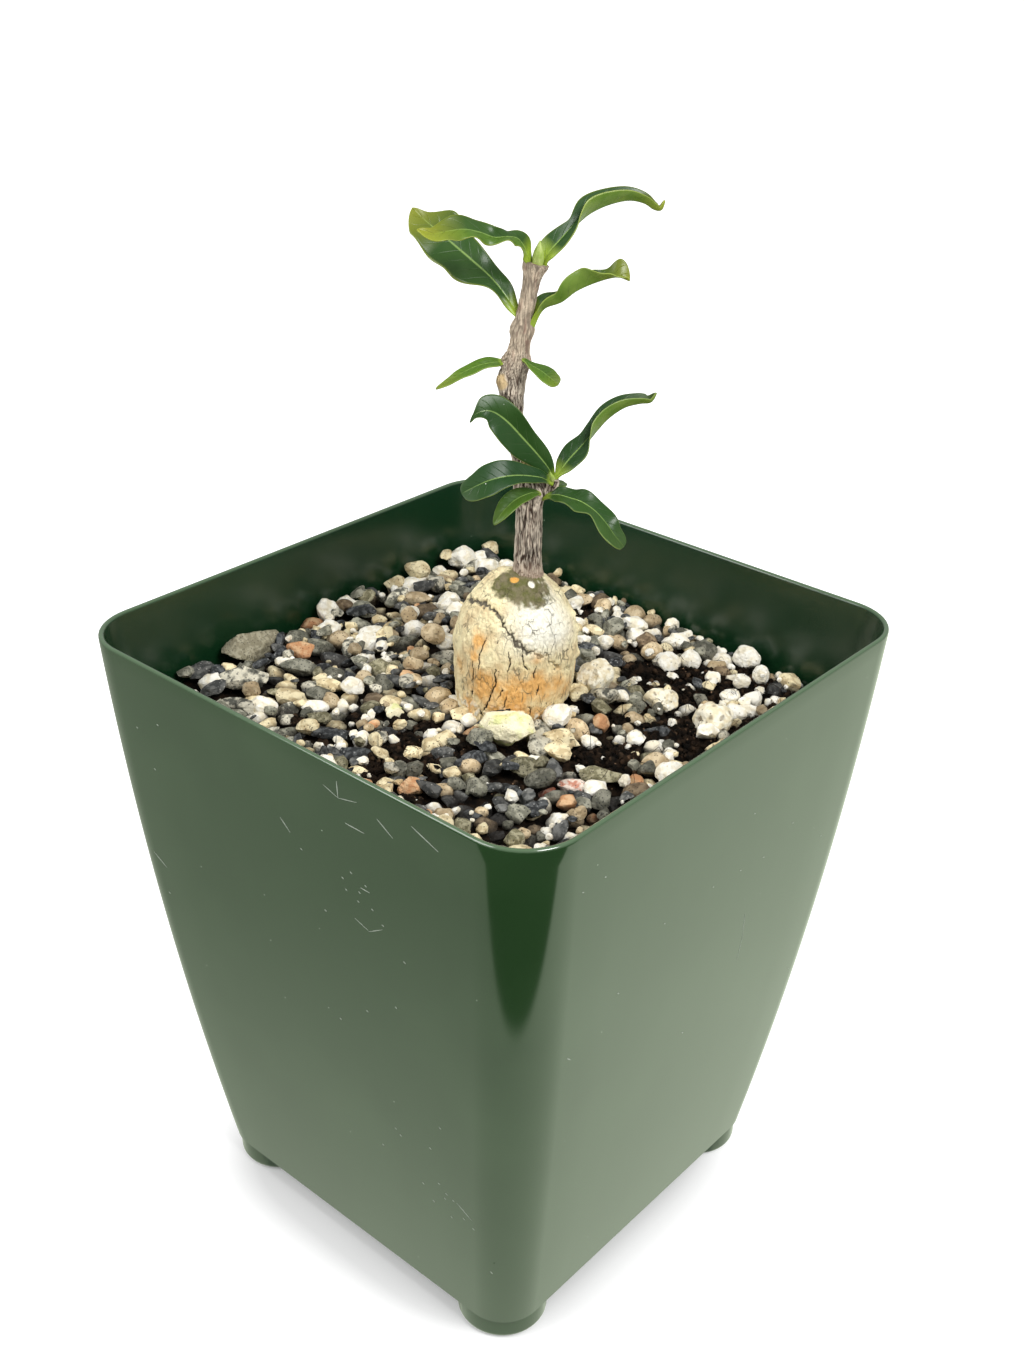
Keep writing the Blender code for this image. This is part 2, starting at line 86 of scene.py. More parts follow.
def step(low, high, values):
    t = np.clip((np.asarray(values, float) - low) / (high - low), 0, 1)
    return t * t * (3 - 2 * t)


def layered(points, layers):
    # adds up layers of noise, each a height, a length, a shift and its octaves
    return sum(height * noiseAt(points, length, shift, octaves) for height, length, shift, octaves in layers)


def bell(away):
    # a smooth round rise: 1 in the middle and near 0 at twice its radius
    return np.exp(-np.square(away))


def unit(vectors):
    vectors = np.asarray(vectors, float)
    return vectors / np.linalg.norm(vectors, axis=-1, keepdims=True)


def ringFaces(rings, count):
    faces = []
    for r in range(rings - 1):
        for k in range(count):
            n = (k + 1) % count
            faces.append((r * count + k, r * count + n, (r + 1) * count + n, (r + 1) * count + k))
    return faces + [tuple(range(count))[::-1], tuple(range((rings - 1) * count, rings * count))]


def makeMesh(name, points, faces, marks=None, blade=None, smooth=True):
    mesh = bpy.data.meshes.new(name)
    mesh.from_pydata((np.asarray(points) * mm).tolist(), [], faces)
    bm = bmesh.new()
    bm.from_mesh(mesh)
    bmesh.ops.recalc_face_normals(bm, faces=bm.faces)
    bm.to_mesh(mesh)
    bm.free()
    if smooth:
        mesh.shade_smooth()
    for label, values in (marks or {}).items():
        layer = mesh.attributes.new(label, "FLOAT", "POINT")
        layer.data.foreach_set("value", np.asarray(values, np.float32))
    if blade is not None:
        corners = np.empty(len(mesh.loops), np.int32)
        mesh.loops.foreach_get("vertex_index", corners)
        layer = mesh.uv_layers.new(name="bladeMap")
        layer.data.foreach_set("uv", np.asarray(blade, np.float32)[corners].ravel())
    return mesh


class Pile:
    # many small lumps gathered into one mesh
    def __init__(self):
        self.points, self.faces, self.marks, self.count = [], [], {}, 0

    def add(self, spots, faces, **marks):
        self.points.append(np.asarray(spots, float))
        self.faces += [[v + self.count for v in face] for face in faces]
        self.count += len(spots)
        for label, value in marks.items():
            self.marks.setdefault(label, []).append(np.full(len(spots), value))

    def mesh(self, name, smooth=True):
        marks = {label: np.concatenate(values) for label, values in self.marks.items()}
        return makeMesh(name, np.vstack(self.points), self.faces, marks, smooth=smooth)


def addPiece(name, mesh, skin, replaced=()):
    obj = bpy.data.objects.new(name, mesh)
    scene.collection.objects.link(obj)
    mesh.materials.clear()
    mesh.materials.append(skin)
    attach(obj, "root")
    if replaced:
        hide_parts(*replaced)


# Shader helpers

class Value:
    # a value that changes over a surface: sums and products of it add their own nodes
    def __init__(self, tree, socket):
        self.tree = tree
        self.socket = socket

    def math(self, operation, other=0.0):
        return put(self.tree, "Math", {0: self, 1: other}, operation=operation)

    def __add__(self, other):
        return self.math("ADD", other)

    def __sub__(self, other):
        return self.math("SUBTRACT", other)

    def __mul__(self, other):
        return self.math("MULTIPLY", other)

    def __truediv__(self, other):
        return self.math("DIVIDE", other)

    def __rtruediv__(self, other):
        return put(self.tree, "Math", {0: other, 1: self}, operation="DIVIDE")

    def __pow__(self, other):
        return self.math("POWER", other)

    def __abs__(self):
        return self.math("ABSOLUTE")

    def ranged(self, low, high, start=0.0, end=1.0):
        return put(self.tree, "MapRange", {0: self, 1: low, 2: high, 3: start, 4: end})

    def blend(self, first, second):
        # mixes two colours with this value as the mask
        return put(self.tree, "Mix", {0: self, 6: first, 7: second}, 2, data_type="RGBA")

    def output(self, name):
        return Value(self.tree, self.socket.node.outputs[name])


def fill(node, inputs):
    for key, value in inputs.items():
        socket = node.inputs[key]
        if isinstance(value, Value):
            value.tree.links.new(value.socket, socket)
        else:
            socket.default_value = (*value, 1.0) if socket.type == "RGBA" else value


def put(tree, kind, inputs=None, output=0, **settings):
    # adds a node and gives back one of its outputs
    made = tree.nodes.new("ShaderNode" + kind)
    for key, value in settings.items():
        setattr(made, key, value)
    fill(made, inputs or {})
    return Value(tree, made.outputs[output])


def spreadOut(place, width, stretch=1.0):
    # a place in metres as a count of a pattern's widths, drawn out upwards by stretch
    across = 1000.0 / width
    sizes = put(place.tree, "CombineXYZ", {0: across, 1: across, 2: across / stretch})
    return put(place.tree, "VectorMath", {0: place, 1: sizes}, operation="MULTIPLY")


def blotches(place, size, detail, low, high):
    # soft patches of one size
    spots = spreadOut(place, size)
    return put(place.tree, "TexNoise", {"Vector": spots, "Scale": 1.0, "Detail": detail}).ranged(low, high)


def flecks(place, spacing, radius, share):
    # round specks: one in each cell of the spacing, kept in a share of the cells
    cells = put(place.tree, "TexVoronoi", {"Vector": spreadOut(place, spacing), "Scale": 1.0})
    drawn = put(place.tree, "SeparateColor", {0: cells.output("Color")})
    return cells.ranged(radius, radius * 0.6) * drawn.math("LESS_THAN", share)


def grain(place, width, stretch):
    # upright ridges and furrows, as on bark and drawn plastic
    spots = spreadOut(place, width, stretch)
    return put(place.tree, "TexNoise", {"Vector": spots, "Scale": 1.0, "Detail": 3.0}).ranged(0.3, 0.7)


def crackle(place, width, stretch, line):
    # a net of thin upright cracks: width is a cell's breadth, line the crack's share of it
    spots = spreadOut(place, width, stretch)
    sway = put(place.tree, "TexNoise", {"Vector": spots, "Scale": 1.8, "Detail": 3.0}, "Color")
    sway = put(place.tree, "VectorMath", {0: sway, "Scale": 0.7}, operation="SCALE")
    spots = put(place.tree, "VectorMath", {0: spots, 1: sway}, operation="ADD")
    cells = put(place.tree, "TexVoronoi", {"Vector": spots, "Scale": 1.0}, feature="DISTANCE_TO_EDGE")
    return cells.ranged(line, 0.0)


def toneShift(colour, tone, spread):
    # lightens or darkens a colour by a stone's own tone, 0 to 1
    level = (tone - 0.5) * spread + 1.0
    shade = put(colour.tree, "CombineColor", {0: level, 1: level, 2: level})
    return put(colour.tree, "Mix", {0: 1.0, 6: colour, 7: shade}, 2, data_type="RGBA", blend_type="MULTIPLY")


def newGroup(make, first, *numbers):
    # a node group from a pattern: a vector or a colour comes first, and numbers follow
    group = bpy.data.node_groups.new(make.__name__, "ShaderNodeTree")
    kinds = {first: "Vector" if first == "place" else "Color", **dict.fromkeys(numbers, "Float")}
    for label, kind in kinds.items():
        group.interface.new_socket(name=label, in_out="INPUT", socket_type="NodeSocket" + kind)
    result = "NodeSocketFloat" if first == "place" else "NodeSocketColor"
    group.interface.new_socket(name="result", in_out="OUTPUT", socket_type=result)
    given = group.nodes.new("NodeGroupInput").outputs
    made = make(**{label: Value(group, given[label]) for label in kinds})
    fill(group.nodes.new("NodeGroupOutput"), {"result": made})
    return group


groups = {
    "blotches": newGroup(blotches, "place", "size", "detail", "low", "high"),
    "flecks": newGroup(flecks, "place", "spacing", "radius", "share"),
    "grain": newGroup(grain, "place", "width", "stretch"),
    "crackle": newGroup(crackle, "place", "width", "stretch", "line"),
    "toneShift": newGroup(toneShift, "colour", "tone", "spread"),
}


class Skin:
    # a material in the making
    def __init__(self, name, fixed):
        self.material = bpy.data.materials.new(name)
        self.material.use_nodes = True
        self.tree = self.material.node_tree
        self.place = put(self.tree, "TexCoord", output="Object")
        self.set(fixed)

    def set(self, inputs):
        fill(self.tree.nodes["Principled BSDF"], inputs)

    def use(self, name, **inputs):
        if "colour" not in inputs:
            inputs["place"] = self.place
        return put(self.tree, "Group", inputs, node_tree=groups[name])

    def mark(self, label):
        return put(self.tree, "Attribute", output="Fac", attribute_name=label)

    def height(self, low, high, start=0.0, end=1.0):
        # goes from start to end between two heights in millimetres
        return put(self.tree, "SeparateXYZ", {0: self.place}, 2).ranged(low * mm, high * mm, start, end)

    def paint(self, colour, *coats):
        # lays each coat over the colour where its mask is up
        for mask, coat in coats:
            colour = mask.blend(colour, coat)
        self.set({"Base Color": colour})

    def emboss(self, relief, depth):
        # depth in millimetres
        raised = put(self.tree, "Bump", {"Strength": 1.0, "Distance": depth * mm, "Height": relief})
        self.set({"Normal": raised})


# Pot

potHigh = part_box("pot")[1]
pot = {
    "height": potHigh.z / mm, "rimHalf": potHigh.x / mm, "baseHalf": 37.7, "footHeight": 4.6,
    "bow": 0.466,             # share of the taper that gathers towards the foot
    "rimCorner": 10.2, "baseCorner": 7.5, "wall": 1.0,
    "floorRecess": 0.8, "floor": 1.5, "footRadius": 8.0, "footEase": 1.2, "footReach": 29.4,
    "drainRadius": 4.5, "drainSpacing": 17.0, "cornerSteps": 12, "sideSteps": 8,
    "outerRings": 40, "innerRings": 30, "lipRings": 9,
}
plastic = {
    "colour": (0.016, 0.044, 0.0135), "bloom": (0.024, 0.056, 0.020), "rimHighlight": (0.075, 0.13, 0.065),
    "dust": (0.30, 0.36, 0.28), "roughness": 0.11, "innerRoughness": 0.26, "coat": 0.6, "ripple": 0.012,
    "innerShadedColour": (0.004, 0.028, 0.009), "rub": (0.34, 0.38, 0.32),
}


def wallHalf(z):
    down = (pot["height"] - z) / (pot["height"] - pot["footHeight"])
    share = down * (1 - pot["bow"]) + down ** 2 * pot["bow"]
    return (pot["rimHalf"] + (pot["baseHalf"] - pot["rimHalf"]) * share,
            pot["rimCorner"] + (pot["baseCorner"] - pot["rimCorner"]) * share)


def insideWall(x, y, z, margin):
    # how far a spot is from the pot's inner wall, less the margin
    half, radius = wallHalf(z)
    half, radius = half - pot["wall"] - margin, np.maximum(radius - pot["wall"] - margin, 0.5)
    qx, qy = np.abs(x) - (half - radius), np.abs(y) - (half - radius)
    outside = np.hypot(np.maximum(qx, 0), np.maximum(qy, 0)) + np.minimum(np.maximum(qx, qy), 0)
    return radius - outside


def wallRing(z, inset):
    # one level of the wall, round the four corners
    cornerSteps, sideSteps = pot["cornerSteps"], pot["sideSteps"]
    half, radius = (value - inset for value in wallHalf(z))
    ring = []
    for corner in range(4):
        middle = math.radians(45 + 90 * corner)
        reach = math.sqrt(2) * (half - radius)
        centre = Vector((math.cos(middle), math.sin(middle))) * reach
        nextCentre = Vector((-math.sin(middle), math.cos(middle))) * reach
        for k in range(cornerSteps + 1):
            angle = middle + math.radians(90) * (k / cornerSteps - 0.5)
            ring.append((centre.x + radius * math.cos(angle), centre.y + radius * math.sin(angle), z))
        last = Vector(ring[-1][:2])
        for k in range(1, sideSteps):
            spot = last + (nextCentre - centre) * k / sideSteps
            ring.append((spot.x, spot.y, z))
    return ring


def roundPlug(x, y, profile, sides):
    turns = [2 * math.pi * k / sides for k in range(sides)]
    rings = [[(x + r * math.cos(a), y + r * math.sin(a), z) for a in turns] for z, r in profile]
    return sum(rings, []), ringFaces(len(profile), sides)


def cutter(name, points, faces):
    obj = bpy.data.objects.new(name, makeMesh(name, points, faces))
    scene.collection.objects.link(obj)
    return obj


def potSkin():
    skin = Skin("greenPlastic", {"Specular IOR Level": 0.8, "Coat Roughness": 0.06})
    bloom = skin.use("blotches", size=26.0, detail=2.0, low=0.45, high=0.75)
    dust = skin.use("flecks", spacing=4.2, radius=0.035, share=0.35)
    specks = skin.use("flecks", spacing=2.6, radius=0.05, share=0.06)
    # a painted highlight: the rim's top edge is painted a lighter green
    rimHighlight = skin.height(pot["height"] - 0.45, pot["height"] - 0.05)
    inner = skin.mark("inner")
    # painted shade: the inner walls are painted a darker green than the outside
    skin.paint(bloom.blend(plastic["colour"], plastic["bloom"]), (inner, plastic["innerShadedColour"]),
               (rimHighlight, plastic["rimHighlight"]), (dust.math("MAXIMUM", specks), plastic["dust"]))
    rubbed = skin.use("blotches", size=9.0, detail=4.0, low=0.5, high=0.8)
    outside = rubbed.ranged(0, 1, plastic["roughness"], plastic["roughness"] + 0.07)
    skin.set({"Roughness": inner.ranged(0, 1, outside, plastic["innerRoughness"]),
              "Coat Weight": inner.ranged(0, 1, plastic["coat"], 0.0)})
    skin.emboss(skin.use("grain", width=7.0, stretch=14.0), plastic["ripple"])
    return skin.material


def buildPot():
    floorLow = pot["footHeight"] + pot["floorRecess"]
    wall = pot["wall"]
    profile = [(floorLow, wall), (pot["footHeight"], wall), (pot["footHeight"], 0.25)]
    profile += [(z, 0.0) for z in np.linspace(pot["footHeight"] + 0.25, pot["height"] - wall / 2,
                                              pot["outerRings"])]
    for turn in np.linspace(0, math.pi, pot["lipRings"])[1:-1]:
        profile.append((pot["height"] - wall / 2 * (1 - math.sin(turn)), wall / 2 * (1 - math.cos(turn))))
    profile += [(z, wall) for z in np.linspace(pot["height"] - wall / 2, floorLow + pot["floor"],
                                               pot["innerRings"])]
    rings = [wallRing(z, inset) for z, inset in profile]
    shell = cutter("pot_shell", sum(rings, []), ringFaces(len(rings), len(rings[0])))
    ease = pot["footEase"]
    footProfile = [(ease * (1 - math.sin(a)), pot["footRadius"] - ease * (1 - math.cos(a)))
                   for a in np.linspace(math.pi / 2, 0, 6)]
    footProfile.append((floorLow + pot["floor"] / 2, pot["footRadius"]))
    drainProfile = [(0.0, pot["drainRadius"]), (floorLow + 3 * pot["floor"], pot["drainRadius"])]
    feet = ((1, 1), (-1, 1), (-1, -1), (1, -1))
    drains = ((0, 0), (-1, -1), (-1, 1), (1, -1), (1, 1))
    plugs = []
    for way, spots, spacing, shape, sides in (("UNION", feet, pot["footReach"], footProfile, 48),
                                              ("DIFFERENCE", drains, pot["drainSpacing"], drainProfile, 40)):
        for sx, sy in spots:
            plugs.append(cutter("plug", *roundPlug(sx * spacing, sy * spacing, shape, sides)))
            joined = shell.modifiers.new("plug", "BOOLEAN")
            joined.operation = way
            joined.object = plugs[-1]
    mesh = bpy.data.meshes.new_from_object(shell.evaluated_get(bpy.context.evaluated_depsgraph_get()))
    for obj in [shell, *plugs]:
        bpy.data.objects.remove(obj)
    mesh.shade_smooth()
    mesh.set_sharp_from_angle(angle=math.radians(35))
    points = np.array([v.co for v in mesh.vertices]) / mm
    depth = insideWall(points[:, 0], points[:, 1], points[:, 2], -wall)
    inner = (depth > 0.7 * wall) & (points[:, 2] < pot["height"] - 0.3)
    layer = mesh.attributes.new("inner", "FLOAT", "POINT")
    layer.data.foreach_set("value", inner.astype(np.float32))
    addPiece("nursery_pot", mesh, potSkin(), ("pot",))


buildPot()

scuffs = {
    "lift": 0.03, "thick": 0.05, "thin": 0.06, "broad": 0.09, "speck": (0.45, -0.2), "rough": 0.6,
    # thin scratches and specks on the two outer faces, as places along the face and up
    "front": (((10, 111), (13, 110), (17, 111)), ((13, 113), (13, 110)), ((-1, 100), (1, 98)),
              ((14, 106), (18, 106)), ((21, 110), (24, 108)), ((28, 112), (33, 110)), ((-38, 75), (-35, 73)),
              ((16, 95), (18, 95)), ((14, 88), (17, 87), (20, 89)), ((30, 35), (33, 33)), ((3, 96),),
              ((-36, 67),), ((12, 95),), ((15, 92),), ((24, 85),), ((7, 63),), ((-36, 102),), ((-30, 105),),
              ((-33, 95),), ((21, 74),), ((14, 69),), ((28, 52),), ((18, 43),), ((7, 86),), ((17, 44),),
              ((13, 37),), ((22, 34),), ((29, 35),), ((36, 22),), ((26, 37),), ((27, 34),), ((31, 32),),
              ((24, 31),), ((28, 30),), ((25, 45),), ((33, 31),), ((27.5, 35.5),), ((14, 97),), ((17, 96),),
              ((18, 92),), ((20, 90),), ((12.5, 93),), ((15.5, 94),)),
    "right": (((6, 85),), ((33, 78),), ((21, 87),), ((7, 96),), ((13, 84),), ((-33, 105),), ((-38, 105),),
              ((-2, 86),), ((-15, 86),), ((-25, 78),), ((-2, 54),), ((34, 46),), ((-36, 72), (-35, 71)),
              ((11, 73), (12, 67), (12, 62))),
}


def buildScuffs():
    skin = Skin("rubbedPlastic", {"Roughness": scuffs["rough"], "Base Color": plastic["rub"]})
    pile = Pile()
    # rings of four points, from one end of a stroke to the other, as quads and two ends
    order = [[4 * k, 4 * k + 1, 4 * k + 3, 4 * k + 2] for k in range(4)]
    faces = [(one[m], one[(m + 1) % 4], two[(m + 1) % 4], two[m])
             for one, two in zip(order, order[1:]) for m in range(4)] + [order[0][::-1], order[-1]]
    for side in ("front", "right"):
        for stroke in scuffs[side]:
            if len(stroke) == 1:
                stroke = (stroke[0], np.add(stroke[0], scuffs["speck"]))
            width = scuffs["thin"] if len(stroke) > 2 else scuffs["broad"]
            for start, end in zip(stroke, stroke[1:]):
                run = np.subtract(end, start)
                across = np.array((-run[1], run[0])) / np.linalg.norm(run) * width
                spots = []
                for share, swell in ((0, 0.3), (0.35, 1.0), (0.7, 0.8), (1, 0.3)):
                    for way in (1, -1):
                        along, z = start + run * share + across * swell * way
                        for out in (scuffs["lift"], scuffs["lift"] - scuffs["thick"]):
                            reach = wallHalf(z)[0] + out
                            spots.append((along, -reach, z) if side == "front" else (reach, along, z))
                pile.add(spots, faces)
    addPiece("pot_scuffs", pile.mesh("pot_scuffs", smooth=False), skin.material)


buildScuffs()
print("pot built")


# Peat bed

bed = {
    "gritDepth": 15.6, "tilt": -0.03, "mound": 1.0,      # as the packed soil lies, from the rim down
    "gritLayer": 2.2, "moundReach": 45.0, "level": 99.0,    # level: where the wall holds the grit in
    "cells": 200, "crumb": 0.85, "edgeLevel": 98.0, "gap": 0.35, "lowRing": 94.0, "foot": 2.6,
    # where peat shows instead of grit: x, y, radius
    "bare": ((9, 28, 4.0), (14, 31, 4.5), (18, 35, 4.5), (24, 36, 4.5), (20, 27, 4.0), (25, 30, 4.0),
             (27, 17, 5.0), (24, 13, 3.5), (30, 14, 3.5), (33, 20, 3.5), (22, 1, 5.5), (25, 4, 3.5),
             (18, 12, 3.0), (31, 35, 4.5), (35, 41, 4.5), (38, 36, 3.5), (35, 28, 3.5), (22, 41, 3.5),
             (-12, 38, 3.5), (8, 37, 4.0), (12, 24, 3.0), (33, 10, 3.0), (16, -3, 2.5), (-9, -15, 3.0),
             (-4, -14, 2.6), (-3, -20, 4.0), (-1, -25, 4.2), (-4, -26, 3.4), (0, -30, 3.5), (4, -22, 3.4),
             (4, -13, 3.0), (5, -17, 3.0), (9, -31, 2.4), (19, -17, 2.0), (-27, 12, 3.8), (-45, -9, 2.0),
             (28, 22, 4.0), (20, 21, 3.5), (16, 24, 3.5), (34, 23, 3.0), (28, -1, 3.0), (21, -4, 2.4),
             (36, 14, 3.0), (26, 41, 4.0), (-12, -28, 2.6), (-21, -27, 2.0), (-14, -20, 2.2)),
}
peatLook = {"dark": (0.004, 0.003, 0.002), "brown": (0.024, 0.014, 0.008), "pale": (0.16, 0.10, 0.06)}


def gritLevel(x, y):
    mound = bed["mound"] * (1 - (x * x + y * y) / bed["moundReach"] ** 2)
    return pot["height"] - bed["gritDepth"] + bed["tilt"] * x + mound


def bareness(x, y):
    # 1 in the middle of a bare peat patch, 0 where grit covers it
    shown = np.zeros_like(x)
    for cx, cy, radius in bed["bare"]:
        shown = np.maximum(shown, 1 - step(radius * 0.6, radius * 1.15, np.hypot(x - cx, y - cy)))
    return shown


def bareDepth(shown):
    # how far the peat lies under the grit's level
    return bed["gritLayer"] * (1 - 0.55 * shown)


def peatSkin():
    skin = Skin("peat", {"Roughness": 0.95, "Specular IOR Level": 0.1})
    patch = skin.use("blotches", size=1.6, detail=5.0, low=0.42, high=0.68)
    flakes = skin.use("flecks", spacing=0.9, radius=0.22, share=0.12)
    colour = flakes.blend(patch.blend(peatLook["dark"], peatLook["brown"]), peatLook["pale"])
    skin.paint(skin.use("toneShift", colour=colour, tone=skin.mark("tone"), spread=1.2))
    skin.emboss(skin.use("blotches", size=0.5, detail=6.0, low=0.2, high=0.8), 0.25)
    return skin.material


def buildPeat(skin):
    n = bed["cells"]
    inset = pot["wall"] + bed["gap"]
    edge, corner = (value - inset for value in wallHalf(bed["edgeLevel"]))
    line = np.linspace(-edge, edge, n)
    x, y = (values.ravel() for values in np.meshgrid(line, line))
    # corners of the sheet are drawn in to the round corners of the pot
    qx, qy = np.maximum(np.abs(x) - (edge - corner), 0), np.maximum(np.abs(y) - (edge - corner), 0)
    reach = np.hypot(qx, qy)
    pull = np.where(reach > 0, np.maximum(qx, qy) / np.maximum(reach, 1e-9), 1.0)
    x = np.sign(x) * (np.abs(x) - qx + qx * pull)
    y = np.sign(y) * (np.abs(y) - qy + qy * pull)
    shown = bareness(x, y)
    flat = np.column_stack((x, y, np.zeros_like(x)))
    z = gritLevel(x, y) - bareDepth(shown)
    z += bed["crumb"] * noiseAt(flat, 1.5, 3.0, 4) * (0.5 + shown) + 0.5 * noiseAt(flat, 7.0, 9.0)
    points = np.column_stack((x, y, z))
    faces = [(j * n + i, j * n + i + 1, (j + 1) * n + i + 1, (j + 1) * n + i)
             for j in range(n - 1) for i in range(n - 1)]
    rim = (list(range(n)) + [j * n + n - 1 for j in range(1, n)] +
           [(n - 1) * n + i for i in range(n - 2, -1, -1)] + [j * n for j in range(n - 2, 0, -1)])
    below = rim
    for level in np.linspace(bed["lowRing"], pot["footHeight"] + bed["foot"], 6):
        shrink = (wallHalf(level)[0] - inset) / edge
        ring = np.column_stack((x[rim] * shrink, y[rim] * shrink, np.full(len(rim), level)))
        start = len(points)
        points = np.vstack((points, ring))
        under = list(range(start, start + len(rim)))
        for k in range(len(rim)):
            m = (k + 1) % len(rim)
            faces.append((below[m], below[k], under[k], under[m]))
        below = under
    faces.append(tuple(below))
    tone = 0.5 + 0.3 * noiseAt(points, 4.0, 5.0)
    addPiece("peat_bed", makeMesh("peat_bed", points, faces, {"tone": tone}), skin, ("soil",))


peat = peatSkin()
buildPeat(peat)
print("peat laid")


# Stones

stoneLooks = {
    # kind is the shape, slot the record's material; size is the pattern's patches
    "grey": {"slot": "grey", "kind": "chip", "base": (0.15, 0.148, 0.11), "second": (0.32, 0.31, 0.24),
             "size": 1.4, "fleck": (0.03, 0.03, 0.028), "share": 0.45, "spread": 1.0},
    "cobble": {"slot": "grey", "kind": "chip", "base": (0.24, 0.215, 0.14), "second": (0.37, 0.34, 0.24),
               "size": 0.9, "fleck": (0.10, 0.09, 0.06), "share": 0.5, "spread": 0.3},
    "speckled": {"slot": "grey", "kind": "chip", "base": (0.66, 0.62, 0.49), "second": (0.10, 0.10, 0.08),
                 "size": 1.5, "fleck": (0.03, 0.03, 0.03), "share": 0.4, "spread": 0.5},
    "slate": {"slot": "slate", "kind": "plate", "base": (0.048, 0.050, 0.048), "second": (0.14, 0.14, 0.13),
              "size": 1.2, "fleck": (0.42, 0.41, 0.38), "share": 0.10, "spread": 1.0},
    "black": {"slot": "black", "kind": "plate", "base": (0.020, 0.022, 0.023), "second": (0.085, 0.09, 0.092),
              "size": 0.8, "fleck": (0.30, 0.30, 0.29), "share": 0.10, "spread": 0.8},
    "white": {"slot": "white", "kind": "popcorn", "base": (0.95, 0.92, 0.82), "second": (0.84, 0.77, 0.60),
              "size": 1.5, "fleck": (0.45, 0.38, 0.27), "share": 0.03, "spread": 0.12},
    "pumice": {"slot": "white", "kind": "pumice", "base": (0.93, 0.88, 0.72), "second": (0.80, 0.70, 0.48),
               "size": 1.4, "fleck": (0.16, 0.11, 0.06), "share": 0.04, "spread": 0.12},
    "pink": {"slot": "white", "kind": "round", "base": (0.78, 0.66, 0.56), "second": (0.55, 0.24, 0.16),
             "size": 1.0, "fleck": (0.10, 0.07, 0.06), "share": 0.14, "spread": 0.2},
    "cream": {"slot": "cream", "kind": "chip", "base": (0.86, 0.75, 0.48), "second": (0.58, 0.46, 0.26),
              "size": 1.6, "fleck": (0.12, 0.09, 0.05), "share": 0.18, "spread": 0.35},
    "lime": {"slot": "cream", "kind": "boulder", "base": (0.93, 0.86, 0.60), "second": (0.80, 0.82, 0.38),
             "size": 2.4, "fleck": (0.20, 0.17, 0.09), "share": 0.06, "spread": 0.12},
    "tan": {"slot": "tan", "kind": "round", "base": (0.44, 0.33, 0.19), "second": (0.62, 0.50, 0.32),
            "size": 1.6, "fleck": (0.10, 0.07, 0.04), "share": 0.25, "spread": 0.7},
    "brown": {"slot": "tan", "kind": "round", "base": (0.15, 0.105, 0.060), "second": (0.27, 0.20, 0.12),
              "size": 1.2, "fleck": (0.05, 0.03, 0.02), "share": 0.25, "spread": 0.7},
    "orange": {"slot": "orange", "kind": "round", "base": (0.52, 0.26, 0.12), "second": (0.62, 0.40, 0.22),
               "size": 1.3, "fleck": (0.22, 0.09, 0.04), "share": 0.15, "spread": 0.6},
    "red": {"slot": "orange", "kind": "chip", "base": (0.56, 0.17, 0.09), "second": (0.66, 0.42, 0.32),
            "size": 1.0, "fleck": (0.2, 0.07, 0.04), "share": 0.2, "spread": 0.3},
    "olive": {"slot": "olive", "kind": "chip", "base": (0.17, 0.155, 0.085), "second": (0.37, 0.34, 0.22),
              "size": 0.9, "fleck": (0.05, 0.045, 0.03), "share": 0.4, "spread": 0.7},
}
# hollow is soil in a stone's pits; buried is painted shade, near black, below the grit's level
soilStainAndShade = {"hollow": (0.20, 0.15, 0.09), "buriedShade": (0.014, 0.010, 0.007)}


def stoneSkin(name, look):
    skin = Skin(f"{name}Stone", {"Specular IOR Level": 0.35})
    tone = skin.mark("tone")
    # each stone reads its own stretch of the pattern
    away = put(skin.tree, "CombineXYZ", {0: tone, 1: tone, 2: tone})
    skin.place = put(skin.tree, "VectorMath", {0: skin.place, 1: away}, operation="ADD")
    patch = skin.use("blotches", size=look["size"], detail=6.0, low=0.45, high=0.58)
    specks = skin.use("flecks", spacing=0.38, radius=0.45, share=look["share"])
    colour = (specks * 0.8).blend(patch.blend(look["base"], look["second"]), look["fleck"])
    colour = skin.use("toneShift", colour=colour, tone=tone, spread=look["spread"])
    # soil clings in the hollows; painted shade darkens, near black, what lies under the grit's level among
    # the other stones
    hollow = skin.mark("hollow").ranged(0.15, 0.8) * 0.7
    skin.paint(colour, (hollow, soilStainAndShade["hollow"]), (skin.mark("deep") * 0.85, soilStainAndShade["buriedShade"]))
    rough = skin.use("blotches", size=0.55, detail=5.0, low=0.2, high=0.8)
    skin.set({"Roughness": rough.ranged(0, 1, 0.55, 0.9)})
    skin.emboss(rough, 0.24)
    return skin.material


stoneSkins = {name: stoneSkin(name, look) for name, look in stoneLooks.items()}

stoneKinds = {
    # facets knocked off a ball, how near its middle they cut, lumps and pits,
    # and the breadth and thickness for a length of 1
    "chip": {"facets": 12, "depth": (0.52, 0.84), "lumps": 0.05, "pits": 0.0, "broad": (0.6, 0.95),
             "thick": (0.5, 0.8)},
    "plate": {"facets": 12, "depth": (0.50, 0.85), "lumps": 0.05, "pits": 0.0, "broad": (0.45, 0.75),
              "thick": (0.28, 0.5)},
    "round": {"facets": 9, "depth": (0.70, 0.92), "lumps": 0.05, "pits": 0.0, "broad": (0.65, 0.9),
              "thick": (0.6, 0.85)},
    "boulder": {"facets": 9, "depth": (0.62, 0.9), "lumps": 0.17, "pits": 0.0, "broad": (0.65, 0.9),
                "thick": (0.6, 0.85)},
    "popcorn": {"facets": 8, "depth": (0.64, 0.9), "lumps": 0.13, "pits": 0.0, "broad": (0.65, 0.95),
                "thick": (0.6, 0.95)},
    "pumice": {"facets": 9, "depth": (0.62, 0.88), "lumps": 0.12, "pits": 0.06, "broad": (0.65, 0.95),
               "thick": (0.6, 0.9)},
}


